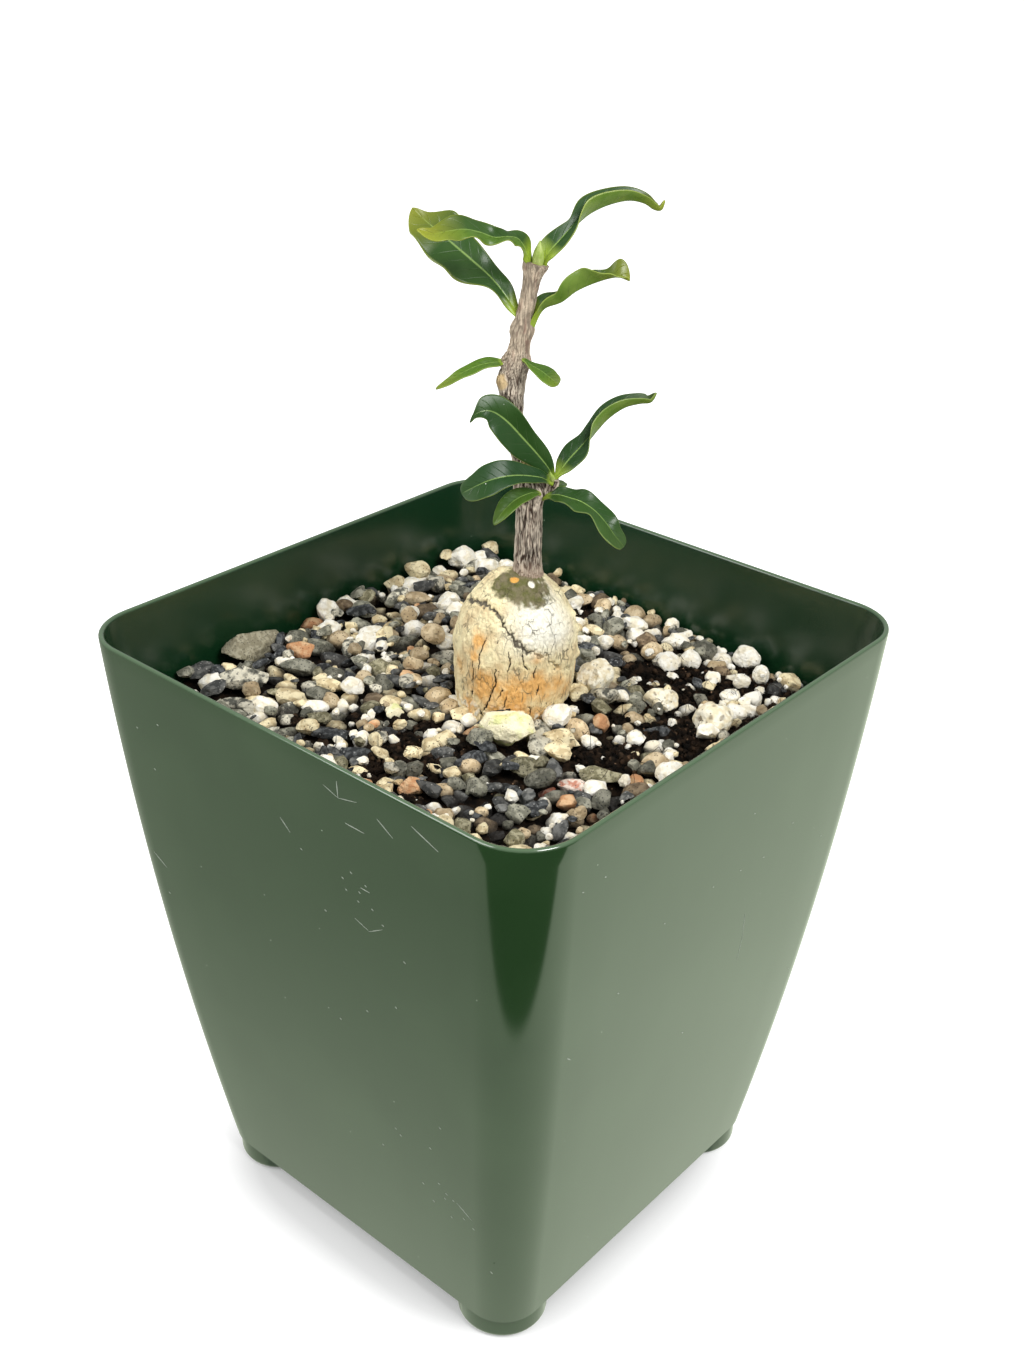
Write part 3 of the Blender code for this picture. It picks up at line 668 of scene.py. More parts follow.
def ball(cuts):
    bm = bmesh.new()
    bmesh.ops.create_icosphere(bm, subdivisions=cuts, radius=1.0)
    points = np.array([v.co for v in bm.verts])
    faces = [[v.index for v in face.verts] for face in bm.faces]
    bm.free()
    return points, faces


balls = {"fine": ball(4), "plain": ball(3), "small": ball(2), "crumb": ball(1)}


def stoneShape(kindName, detail, rng):
    # fills the box from -1 to 1, with a value for how deep in a pit each point lies
    kind = stoneKinds[kindName]
    points = balls[detail][0]
    reach = np.ones(len(points))
    for _ in range(kind["facets"]):
        facing = points @ unit(rng.normal(size=3))
        cut = rng.uniform(*kind["depth"]) / np.maximum(facing, 1e-3)
        reach = np.where(facing > 0, np.minimum(reach, cut), reach)
    shift = rng.uniform(0, 60)
    pits = step(0.30, 0.50, noiseAt(points, 0.34, shift + 9)) * (kind["pits"] > 0)
    reach = reach * (1 + kind["lumps"] * noiseAt(points, 0.75, shift, 2) * 1.5 - kind["pits"] * pits
                     + 0.035 * noiseAt(points, 0.22, shift + 30, 2))
    points = points * reach[:, None]
    low, high = points.min(0), points.max(0)
    return 2 * (points - low) / (high - low) - 1, pits


stoneRng = np.random.default_rng(11)
shapeCount = 14             # ready shapes of each kind and size
shapeStore = {kind: {detail: [stoneShape(kind, detail, stoneRng) for _ in range(shapeCount)]
                     for detail in ("plain", "small")} for kind in stoneKinds}


def deepness(points):
    # 1 where a stone's skin is well under the grit's level, where painted shade darkens it
    return step(0.1, 1.7, gritLevel(points[:, 0], points[:, 1]) - points[:, 2])


# the stones that stand out, by the slot they take; each has a CAD node of its own
heroStones = {
    "grey": ("cobble", "granite_chip", "quartz_grey", "grey_green"),
    "slate": ("slate_chip",),
    "black": ("basalt_long", "basalt_short", "basalt_right"),
    "white": ("white_wall_high", "white_wall_low", "white_wall_back", "white_oval", "white_left",
              "white_back", "pumice_side", "pumice_big", "white_right", "perlite_high", "perlite_mid",
              "perlite_corner", "perlite_rear", "perlite_front", "white_angular", "pink_long"),
    "cream": ("cream_wall", "cream_left", "cream_back", "cream_rear", "pumice_wedge", "cream_corner",
              "lime_boulder"),
    "tan": ("tan_slab", "pumice_front", "tan_front"),
    "orange": ("orange_pebble", "salmon", "orange_small", "orange_egg", "orange_front"),
    "olive": ("olive_slab",),
}
# stones whose look or shape isn't the usual one of their slot
heroLooks = {
    "cobble": "cobble", "granite_chip": "speckled", "lime_boulder": "lime", "pink_long": "pink",
    "pumice_side": "pumice", "pumice_big": "pumice", "pumice_wedge": "pumice", "pumice_front": "cream",
    "tan_front": "olive", "cream_rear": "tan", "cream_back": "white", "cream_wall": "white",
}
heroTall = {"lime_boulder": 1.25, "cobble": 1.25, "granite_chip": 1.15, "pumice_side": 1.15,
            "pumice_wedge": 1.25, "perlite_high": 1.15, "cream_back": 1.3, "white_back": 1.3,
            "white_wall_high": 1.2}
heroKinds = {"white_oval": "round", "white_left": "round", "cream_left": "round", "white_angular": "chip",
             "orange_pebble": "chip", "salmon": "chip", "pumice_front": "pumice", "tan_front": "chip"}


def stoneStance(node):
    # middle, turn and half sizes of a CAD stone, read from its points
    points = np.array([v.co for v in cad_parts[node].data.vertices]) / mm
    middle = (points.min(0) + points.max(0)) / 2
    flat = points[:, :2] - points[:, :2].mean(0)
    turn = 0.5 * math.atan2(2 * (flat[:, 0] * flat[:, 1]).sum(),
                            (flat[:, 0] ** 2).sum() - (flat[:, 1] ** 2).sum())
    c, s = math.cos(turn), math.sin(turn)
    along, across = flat @ (c, s), flat @ (-s, c)
    return middle, turn, np.array((np.ptp(along), np.ptp(across), np.ptp(points[:, 2]))) / 2


def standing(points, turn, halves, middle):
    c, s = math.cos(turn), math.sin(turn)
    x, y, z = (points * halves).T
    return np.column_stack((x * c - y * s, x * s + y * c, z)) + middle


def buildHeroStone(name, slotName, rng):
    look = heroLooks.get(name, slotName)
    kind = heroKinds.get(name, stoneLooks[look]["kind"])
    middle, turn, halves = stoneStance("stone_" + name)
    tall = heroTall.get(name, 1.0)
    middle[2] += halves[2] * (tall - 1)      # grows upwards only
    halves[2] *= tall
    points, pits = stoneShape(kind, "fine", rng)
    points = standing(points, turn, halves, middle)
    tone = np.full(len(points), rng.uniform(0.35, 0.7))
    marks = {"tone": tone, "hollow": pits, "deep": deepness(points)}
    mesh = makeMesh(name, points, balls["fine"][1], marks)
    mesh.set_sharp_from_angle(angle=math.radians(32))
    addPiece(name, mesh, stoneSkins[look], ("stone_" + name,))
    return points


# Grit: x, y and length of the stones that are laid one by one, then what is dropped round them

laidStones = {
    "cream": ((8, 38, 2.4), (6, 24.5, 3.2), (8, 12, 3.6), (16, 15, 3.6), (34.5, 5.5, 2.4), (-8, -12.5, 3.2),
              (-3, -25.5, 3.2), (-2.5, -31, 3), (1.5, -20, 2.8), (6, -22, 2.6), (11.5, -21.5, 2.2),
              (22.5, -31.5, 3.4), (34, -16.5, 3.4), (18, -7.5, 3), (9.5, 10.5, 3.2), (-18, -3, 3),
              (-16.5, -9.5, 4), (-20.5, -16, 4), (-43.5, -33.5, 3.6), (-41.5, 11.5, 3.6), (-37, 12.5, 4.4),
              (-44.5, 26, 4.6), (-31.5, -20.5, 3.6), (-36.5, -18.5, 3.4), (-30, -26, 3.2), (-25.5, -22, 3.4),
              (-31.5, -31, 2.8), (-24, -31.5, 4), (-13.5, -33, 3.8), (-16, -23.5, 4), (-18.5, -32, 3.2)),
    "white": ((0.5, 38.5, 3.6), (1.5, 42, 3.8), (17.5, 43, 4.4), (14.5, 2.5, 2.4), (19, 1.5, 2.8),
              (21.5, 6.5, 2.2), (27, 9, 3.4), (31.5, 18, 3.6), (23.5, 23.5, 3.4), (15, 30.5, 2.4),
              (30, 34, 3.2), (25.5, 37, 3.2), (-12, -11, 2.2), (-1, -10.5, 3.8), (-1.5, -15, 2.8),
              (13, -29.5, 3), (24.5, -16.5, 2.8), (29, -18.5, 3.6), (33, -20.5, 2.8), (-37.5, 8.5, 3.2),
              (-19, 1, 3.8), (-21, -14.5, 4), (-4.5, -21, 2)),
    "grey": ((5.5, 32, 3), (12, 43, 2.8), (9, -25.5, 3), (13.5, -19, 3), (26, -30.5, 3), (13, 8, 3.8),
             (-46, -31, 3), (-42.5, -7.5, 5), (-39, 4, 5.2), (-37, -7, 5), (-28, 5, 6.2), (-27.5, -12.5, 4.8),
             (-20, -30, 3.8)),
    "slate": ((2.5, 29, 6), (4, -18, 4), (13, -16, 5.2), (16, -26, 3.8), (18.5, -29, 3.2), (31.5, -8, 4.2),
              (30.5, -26.5, 3.2), (-23, -9.5, 4), (-32.5, -7.5, 5.8), (-16.5, -16.5, 4)),
    "speckled": ((12.5, 13.5, 4.8), (22, -7.5, 3.4), (-19, 6.5, 5), (-28.5, -17.5, 4), (-33, -31.5, 4.8),
                 (-23, -28, 4.2), (-26, -25, 3.6)),
    "tan": ((-2, 33, 3.8), (9.5, 20, 3), (19.5, 13.5, 3.6), (-9, -5.5, 4.6), (-33.5, 8.5, 4), (-41, 29.5, 5),
            (-18, -2.5, 3.4), (-37, -2.5, 4.6)),
    "orange": ((3, -10, 3.2), (11, 4.5, 2.6), (-45.5, -1.5, 4.2), (32.5, -13.5, 2.8)),
    "red": ((22.5, -13.5, 3),),
    "olive": ((28.5, 6, 5), (17, -13, 5), (19, -20.5, 2.6), (-24, -5, 5.6), (-17.5, -25.5, 4)),
    "lime": ((-10.5, -14.5, 3.4), (8.2, -7.4, 3.0)),
    "black": ((-7.5, -19, 4.2), (17.5, -17.5, 4.6), (24, -27.5, 3), (-32, -12, 4.2), (-28.5, -9, 3.4),
              (-12, -23, 3.8)),
    "brown": ((21.5, -27, 3.4), (28, -22.5, 2.8), (-16, -13.5, 4.6), (-33.5, 17, 4.8)),
}
grit = {
    "cell": 0.25, "reach": 49.0, "tries": 6, "grain": math.radians(41), "laidScale": 1.1,
    "laidSink": 0.12, "sink": 0.15, "sharp": 26, "spread": 47, "plainFrom": 2.1,
    "barred": 200.0, "caudexClear": 9.0, "heroClear": 0.8, "laidClear": 0.75,    # where none may be set down
    # dropped stones: count, sizes, mix, share allowed on bare peat, height over the bed
    "rounds": ((900, (3.2, 5.6), "shares", 0.02, 0.1), (600, (2.2, 3.4), "shares", 0.04, 0.1),
               (300, (1.2, 2.0), "shares", 0.10, 0.1), (240, (0.7, 2.1), "perlite", 1.0, 0.8)),
    "perlite": {"white": 0.7, "cream": 0.3},
    "shares": {"grey": 0.24, "slate": 0.17, "black": 0.10, "white": 0.12, "cream": 0.15, "tan": 0.09,
               "brown": 0.03, "orange": 0.025, "olive": 0.05, "speckled": 0.07},
    # x, y and radius of two places with more of some stones and fewer of others
    "dark": (15, -20, 9.0), "pale": (24, 30, 15.0),
    "darkShares": {"slate": 3.0, "black": 3.0, "cream": 0.5, "white": 0.4, "orange": 0.4},
    "paleShares": {"white": 4.0, "cream": 1.5, "slate": 0.5, "black": 0.6, "orange": 0.3},
}


class Heap:
    # a height map of the bed that stones are dropped on
    def __init__(self):
        self.n = int(2 * grit["reach"] / grit["cell"])
        line = (np.arange(self.n) + 0.5) * grit["cell"] - grit["reach"]
        self.x, self.y = np.meshgrid(line, line, indexing="ij")
        self.bare = bareness(self.x, self.y)
        self.level = gritLevel(self.x, self.y)
        self.top = self.level - bareDepth(self.bare)
        caudexLow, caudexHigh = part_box("caudex")
        middle = (caudexLow + caudexHigh) / 2 / mm
        self.top[np.hypot(self.x - middle.x, self.y - middle.y) < grit["caudexClear"]] = grit["barred"]

    def cellsOf(self, x, y):
        i = np.clip(((x + grit["reach"]) / grit["cell"]).astype(int), 0, self.n - 1)
        j = np.clip(((y + grit["reach"]) / grit["cell"]).astype(int), 0, self.n - 1)
        return i, j

    def cover(self, points, keepClear=0.0):
        # raises the map to the top of a stone, read as an ellipsoid in its box; keepClear bars its middle
        low, high = points.min(0), points.max(0)
        (i0, i1), (j0, j1) = self.cellsOf(np.array((low[0], high[0])), np.array((low[1], high[1])))
        part = np.s_[i0:i1 + 1, j0:j1 + 1]
        middle, half = (low + high) / 2, np.maximum((high - low) / 2, 0.1)
        span = ((self.x[part] - middle[0]) / half[0]) ** 2 + ((self.y[part] - middle[1]) / half[1]) ** 2
        dome = np.where(span < 1, middle[2] + half[2] * np.sqrt(np.maximum(1 - span, 0)), -1e9)
        dome = np.where(span < keepClear ** 2, grit["barred"], dome)
        self.top[part] = np.maximum(self.top[part], dome)


heap = Heap()
loads = {look: Pile() for look in stoneLooks}
for slotName, names in heroStones.items():
    for name in names:
        heap.cover(buildHeroStone(name, slotName, stoneRng), grit["heroClear"])
print("named stones dressed")


def turned(rng, grain, tiltMost):
    # a turn about the upright, along the grain if there is one, after a small tilt
    tilts = [Matrix.Rotation(rng.uniform(-tiltMost, tiltMost), 3, axis) for axis in "XY"]
    spin = grain + rng.normal() * 0.35 if grain is not None else rng.uniform(0, 2 * math.pi)
    return np.array(Matrix.Rotation(spin, 3, "Z") @ (tilts[0] @ tilts[1]))


def layStone(look, x, y, length, rng, sink, grain=None, keepClear=0.0, highest=1e9):
    # sets a stone down on what lies at x, y, unless it would stand too high
    kindName = stoneLooks[look]["kind"]
    kind = stoneKinds[kindName]
    detail = "plain" if length > grit["plainFrom"] else "small"
    shape, pits = shapeStore[kindName][detail][rng.integers(shapeCount)]
    halves = np.array((1, rng.uniform(*kind["broad"]), rng.uniform(*kind["thick"]))) * length / 2
    points = shape * halves @ turned(rng, grain, 0.4).T + (x, y, 0.0)
    i, j = heap.cellsOf(points[:, 0], points[:, 1])
    ground = np.minimum(heap.top[i, j], gritLevel(x, y) + 1.0 if keepClear else grit["barred"])
    points[:, 2] += np.quantile(ground - points[:, 2], 0.86) - sink * length
    if points[:, 2].max() < highest + length * 0.75:
        heap.cover(points, keepClear)
        loads[look].add(points, balls[detail][1], tone=rng.uniform(0, 1), hollow=pits, deep=deepness(points))


for look, stones in laidStones.items():
    for x, y, length in stones:
        layStone(look, x, y, length * grit["laidScale"], stoneRng, grit["laidSink"], grit["grain"],
                 grit["laidClear"])


def mixAt(x, y, shares):
    weights = dict(shares)
    for spot, changes in ((grit["dark"], grit["darkShares"]), (grit["pale"], grit["paleShares"])):
        nearness = math.exp(-((x - spot[0]) ** 2 + (y - spot[1]) ** 2) / spot[2] ** 2)
        for look, factor in changes.items():
            if look in weights:
                weights[look] *= 1 + (factor - 1) * nearness
    chances = np.array(list(weights.values()))
    return list(weights), chances / chances.sum()


def dropStones(rng, count, sizes, shares, allowBare, over):
    # drops stones on the lowest of a few spots until the bed is level
    for _ in range(count):
        length = rng.uniform(*sizes)
        x, y = rng.uniform(-grit["spread"], grit["spread"], (2, grit["tries"]))
        fits = insideWall(x, y, bed["level"], length * 0.5) > 0
        i, j = heap.cellsOf(x, y)
        fits &= (heap.bare[i, j] < 0.5) | (rng.uniform(size=len(x)) < allowBare)
        want = np.where(fits, heap.top[i, j] - heap.level[i, j], 1e9)
        best = int(np.argmin(want))
        if want[best] > over:
            continue
        names, chances = mixAt(x[best], y[best], shares)
        look = names[rng.choice(len(names), p=chances)]
        highest = gritLevel(x[best], y[best]) + over
        layStone(look, x[best], y[best], length, rng, grit["sink"], highest=highest)


for count, sizes, mix, allowBare, over in grit["rounds"]:
    dropStones(stoneRng, count, sizes, grit[mix], allowBare, over)
for look, pile in loads.items():
    if pile.points:
        mesh = pile.mesh("grit_" + look)
        mesh.set_sharp_from_angle(angle=math.radians(grit["sharp"]))
        addPiece("grit_" + look, mesh, stoneSkins[look])
        print("grit", look, len(pile.points), "stones", len(pile.faces), "faces")


# Crumbs and roots on the bare peat

crumbs = {
    "count": 2600, "shapes": 10, "sizes": (0.35, 1.25), "reach": 46,
    "tones": (0.1, 0.5, 1.2, 2.6), "toneShares": (0.35, 0.35, 0.2, 0.1),
    "fibres": 220, "fibreLength": (1.5, 5.0), "fibreRadius": 0.07, "fibreSteps": 8,
}


def buildCrumbs(skin):
    pile = Pile()
    shapes = [stoneShape("chip", "crumb", stoneRng)[0] for _ in range(crumbs["shapes"])]
    tried = 0
    while tried < crumbs["count"]:
        x, y = stoneRng.uniform(-crumbs["reach"], crumbs["reach"], 2)
        shown = bareness(x, y)
        tried += shown > 0.35
        size = stoneRng.uniform(*crumbs["sizes"])
        if shown < stoneRng.uniform(0.1, 0.6) or insideWall(x, y, bed["level"], size) < 0:
            continue
        i, j = heap.cellsOf(x, y)
        if heap.top[i, j] > gritLevel(x, y) - bareDepth(heap.bare[i, j]) + 0.3:
            continue
        shape = shapes[stoneRng.integers(crumbs["shapes"])]
        spots = shape * (size / 2) @ turned(stoneRng, None, 1.5).T
        pile.add(spots + (x, y, heap.top[i, j] + size * 0.15), balls["crumb"][1],
                 tone=stoneRng.choice(crumbs["tones"], p=crumbs["toneShares"]))
    addPiece("peat_crumbs", pile.mesh("peat_crumbs", smooth=False), skin)


def buildFibres(skin):
    # thin roots and moss threads lying over the peat
    pile = Pile()
    steps, radius = crumbs["fibreSteps"], crumbs["fibreRadius"]
    while len(pile.points) < crumbs["fibres"]:
        x, y = stoneRng.uniform(-crumbs["reach"], crumbs["reach"], 2)
        if bareness(x, y) < 0.5 or insideWall(x, y, bed["level"], 2) < 0:
            continue
        length = stoneRng.uniform(*crumbs["fibreLength"]) / steps
        heading, bend = stoneRng.uniform(0, 2 * math.pi), stoneRng.normal() * 0.5
        path = []
        for k in range(steps + 1):
            x, y = x + math.cos(heading) * length, y + math.sin(heading) * length
            heading += bend * 0.4
            level = gritLevel(x, y)
            resting = min(max(heap.top[heap.cellsOf(x, y)], level - 1.0), level + 0.6)
            path.append((x, y, resting + 0.25 + 0.35 * math.sin(k * 0.8)))
        sideX, sideY = math.sin(heading), -math.cos(heading)
        spots = []
        for k, (x, y, z) in enumerate(path):
            thick = radius * (1 - 0.7 * abs(2 * k / steps - 1))
            for turn in (0.5, 2.6, 4.7):
                out = thick * math.cos(turn)
                spots.append((x + out * sideX, y + out * sideY, z + thick * math.sin(turn)))
        pile.add(spots, ringFaces(steps + 1, 3), tone=1.9)
    addPiece("root_fibres", pile.mesh("root_fibres"), skin)


buildCrumbs(peat)
buildFibres(peat)
print("crumbs scattered")


# Plant frame

plantPlace = {"x": 0.9, "y": 2.9, "turn": math.radians(40.5)}


def plantToPot(points):
    points = np.asarray(points, float)
    c, s = math.cos(plantPlace["turn"]), math.sin(plantPlace["turn"])
    return np.column_stack((points[:, 0] * c - points[:, 1] * s + plantPlace["x"],
                            points[:, 0] * s + points[:, 1] * c + plantPlace["y"], points[:, 2]))


# Caudex: a cracked, corky body. Places on it are (turn in degrees, height); turn 0 faces the front.

caudex = {
    "half": 10.4, "waist": 111.0, "dome": 14.8, "taper": 0.6, "crown": 124.6, "shift": 0.3, "shoulder": 122.0,
    # columns before and behind, how far round the fine ones go, and the rows' spacing
    "front": 320, "rest": 70, "frontTurn": 1.75, "step": 0.2,
    # layers of noise: height, length, shift, octaves
    "jitter": ((0.30, 1.3, 2.0, 2), (0.16, 0.42, 31.0, 1)),
    "lumps": ((0.30, 5.5, 1.0, 1), (0.14, 1.7, 4.0, 2), (0.12, (0.5, 0.5, 2.2), 6.0, 2),
              (0.05, 0.45, 26.0, 1)),
    "capEdge": ((1.0, 2.2, 15.0, 3), (0.5, 0.6, 17.0, 2)),
    "root": ((75.5, 1.3), (79, 2.6), (83.5, 4.2), (88, 6.2), (92.5, 8.0), (97, 9.3), (101, 10.0),
             (106, 10.35)),
    "cracks": (((-42, 111.6), (-42, 109.7), (-43, 107.5)),
               ((-19, 111.2), (-19, 108.1), (-24, 105.6), (-30, 102.7)),
               ((-7, 114.6), (-5, 112.9), (-7, 110.9)), ((5, 115.1), (8, 113.2), (10, 111.3)),
               ((19, 111.8), (19, 109.2)), ((23, 108.4), (21, 106.4)), ((-7, 106.4), (-10, 104.1)),
               ((-32, 116.2), (-35, 114.1), (-36, 110.1)), ((-12, 107.5), (-17, 105.4)),
               ((-44, 106.4), (-46, 104.3)), ((-37, 103.4), (-31, 100.9)), ((40, 104.3), (34, 103.4)),
               ((-17, 116.3), (-19, 115.7)), ((14, 104.1), (16, 102.5))),
    "crackWidth": 0.15, "crackDepth": 0.3,
    "fissure": ((-87, 119.6), (-56, 120.8), (-33, 120.8), (-21, 119.8), (-10, 117.9), (-1, 116.4), (5, 115.1),
                (15, 114.2), (25, 113.3), (36, 111.6), (47, 110.0), (70, 109.0)),
    "fissureWidth": 0.46, "fissureDepth": 0.55,
    "bumps": ((86, 121.4, 0.7, 0.6), (84, 117.3, 0.6, 0.6), (86, 114.6, 0.7, 0.5), (82, 110.3, 0.8, 0.8),
              (-95, 112, 2.0, 0.4), (160, 116, 2.2, 0.5), (-150, 108, 2.4, 0.5)),
    # leaf scars: finish, right, back and half size on the crown
    "scars": (("orange", -0.2, -3.3, 0.85), ("white", 2.5, -3.8, 0.65)),
    "capMiddle": (1.0, -3.5), "capRadius": 3.4,
    # ochre blush: turn, height, radius, strength
    "blush": ((-38, 115.3, 1.5, 0.9), (-42, 112.6, 1.4, 0.6), (-64, 109, 2.2, 0.4), (-28, 107.5, 3.3, 0.9),
              (0, 106.8, 3.6, 0.95), (-8, 103.2, 3.2, 1.0), (18, 107.6, 3.0, 0.85), (38, 107.4, 2.8, 0.7),
              (55, 106, 2.2, 0.5), (33, 120, 1.4, 0.5), (20, 113.2, 1.2, 0.5), (-48, 102.5, 2.4, 0.6),
              (18, 102, 2.6, 0.7), (105, 106, 3.2, 0.6), (150, 104, 3.6, 0.7), (-150, 106, 3.6, 0.6),
              (-110, 103, 3.0, 0.6), (178, 112, 2.4, 0.35)),
}
barkLook = {
    # pale is the white scar's colour, and also a painted highlight on the upper right
    "cream": (0.97, 0.86, 0.53), "pale": (0.97, 0.94, 0.80), "ochre": (0.87, 0.49, 0.165),
    "tan": (0.74, 0.58, 0.33), "crack": (0.050, 0.036, 0.022), "fissure": (0.17, 0.15, 0.11),
    "cap": (0.215, 0.185, 0.105), "moss": (0.135, 0.135, 0.042), "skin": (0.88, 0.82, 0.66),
    "scarOrange": (0.80, 0.42, 0.10), "highlightFrom": (112.5, 116.5),
}


def caudexHalf(z):
    heights, halves = zip(*caudex["root"], (caudex["waist"], caudex["half"]))
    if z < caudex["waist"]:
        return float(np.interp(z, heights, halves))
    return caudex["half"] * max(1 - ((z - caudex["waist"]) / caudex["dome"]) ** 2, 0) ** caudex["taper"]


def onCaudex(turn, z):
    # a place on the skin as millimetres round and up, for measuring along it
    return math.radians(turn) * caudexHalf(min(z, caudex["shoulder"])), z


def caudexRows():
    # (height, half width) from the tip of the root to the middle of the crown
    waist, dome, crown = caudex["waist"], caudex["dome"], caudex["crown"]
    rows = [(z, caudexHalf(z)) for z in np.linspace(76, 96, 14)]
    rows += [(z, caudexHalf(z)) for z in np.arange(96.3, waist, caudex["step"])]
    crownTurn = math.asin((crown - waist) / dome)
    rows += [(waist + dome * math.sin(a), caudex["half"] * math.cos(a) ** (2 * caudex["taper"]))
             for a in np.linspace(0, crownTurn, int(crownTurn * dome / caudex["step"]))]
    edge = rows[-1][1]
    return rows + [(crown + 0.4 * (1 - (r / edge) ** 2) ** 2, r) for r in np.linspace(edge, 0.1, 18)[1:]]


def caudexCracks(spots, base, turn, z, jitter):
    # the short upright cracks, and the fissure that crosses the front
    crack = np.zeros(len(z))
    jittered = spots + np.column_stack((jitter, np.zeros_like(jitter)))
    for path in caudex["cracks"]:
        path = [onCaudex(*spot) for spot in path]
        ends = step(0.0, 1.3, np.abs(z - path[0][1])) * step(0.0, 1.3, np.abs(z - path[-1][1]))
        width = caudex["crackWidth"] * (0.55 + 0.45 * ends)
        crack = np.maximum(crack, bell(pathDistance(jittered, path) / width))
    ragged = caudex["fissureWidth"] * (0.8 + 1.0 * np.maximum(noiseAt(base, 1.1, 8.0, 2), -0.5))
    ragged *= 1 - 0.65 * step(0.15, 0.7, turn)         # thins to a hairline on the right
    reach = pathDistance(spots + 2.2 * jitter[:, None], [onCaudex(*spot) for spot in caudex["fissure"]])
    return crack, bell(reach / np.maximum(ragged, 0.12)) * (np.abs(turn) < 1.6)


def buildCaudex():
    rows = caudexRows()
    # finer columns where the cracks are
    span = caudex["frontTurn"]
    turns = np.concatenate((np.linspace(-span, span, caudex["front"], endpoint=False),
                            np.linspace(span, 2 * math.pi - span, caudex["rest"], endpoint=False)))
    turns = np.where(turns > math.pi, turns - 2 * math.pi, turns)
    count = len(turns)
    z, half = np.repeat(np.array(rows), count, axis=0).T
    turn = np.tile(turns, len(rows))
    skinHalf = np.array([caudexHalf(min(row[0], caudex["shoulder"])) for row in rows]).repeat(count)
    spots = np.column_stack((turn * skinHalf, z))
    base = np.column_stack((half * np.sin(turn), -half * np.cos(turn), z))
    jitter = layered(base, caudex["jitter"])
    crack, fissure = caudexCracks(spots, base, turn, z, jitter)
    rise = layered(base, caudex["lumps"])
    # the right side draws in towards the soil, and the crown slopes away behind the stem
    rise -= 2.7 * (1 - step(96.5, 106.0, z)) * np.clip(np.sin(turn), 0, 1)
    rise -= 1.3 * step(0.5, 6.0, base[:, 1]) * step(116.0, 122.0, z)
    # a shoulder swells over the fissure on the right
    rise += 0.55 * bell((turn - 0.75) / 0.55) * bell((z - 117.5) / 3.4)
    rise -= caudex["crackDepth"] * crack + caudex["fissureDepth"] * fissure
    for knob, height, radius, lift in caudex["bumps"]:
        rise += lift * bell(np.linalg.norm(spots - onCaudex(knob, height), axis=1) / radius)
    rim = np.zeros(len(z))
    right = base[:, 0] + caudex["shift"]
    marks = {"crack": crack, "turn": turn, "fissure": fissure * (1 - 0.5 * step(0.1, 0.45, turn))}
    for finish, scarRight, scarBack, radius in caudex["scars"]:
        away = np.hypot(right - scarRight, (base[:, 1] - scarBack) * 1.15)
        away = np.where(z > 120.0, (away + 0.12 * noiseAt(base, 0.8, 21.0)) / radius, 9.0)
        marks[finish + "Scar"] = 1 - step(0.75, 0.92, away)
        rise += 0.22 * bell((away - 1.05) / 0.25) - 0.12 * marks[finish + "Scar"]
        rim = np.maximum(rim, bell((away - 1.0) / 0.13))
    marks["flaky"] = step(0.05, 0.5, noiseAt(base, 1.4, 12.0, 3))
    marks["flaky"] *= 1 - step(101.5, 105.0, z + 1.5 * noiseAt(base, 3.0, 7.0))
    rise += 0.22 * marks["flaky"]
    crown = np.hypot((right - caudex["capMiddle"][0]) * 0.75, base[:, 1] - caudex["capMiddle"][1])
    crown += layered(base, caudex["capEdge"]) + 3.0 * (1 - step(119.9, 121.0, z))
    cap = 1 - step(caudex["capRadius"] - 0.5, caudex["capRadius"] + 0.6, crown)
    marks["cap"] = np.maximum(cap, rim * 0.9)
    blush, patchy = np.zeros(len(z)), 0.35 * noiseAt(base, 1.8, 24.0, 2)
    for middle, height, radius, strength in caudex["blush"]:
        away = np.linalg.norm(spots - onCaudex(middle, height), axis=1) / radius
        blush = np.maximum(blush, strength * bell(away + patchy))
    marks["blush"] = blush
    fade = step(0.05, 2.0, half)                       # no ripple at the very middle of the crown
    outward = unit(np.column_stack((np.sin(turn), -np.cos(turn),
                                    np.clip((z - caudex["waist"]) / caudex["dome"], 0, 1))))
    points = base + outward * (rise * fade)[:, None] + (caudex["shift"], 0, 0)
    mesh = makeMesh("caudex_body", plantToPot(points), ringFaces(len(rows), count), marks)
    addPiece("caudex_body", mesh, caudexSkin(), ("caudex",))


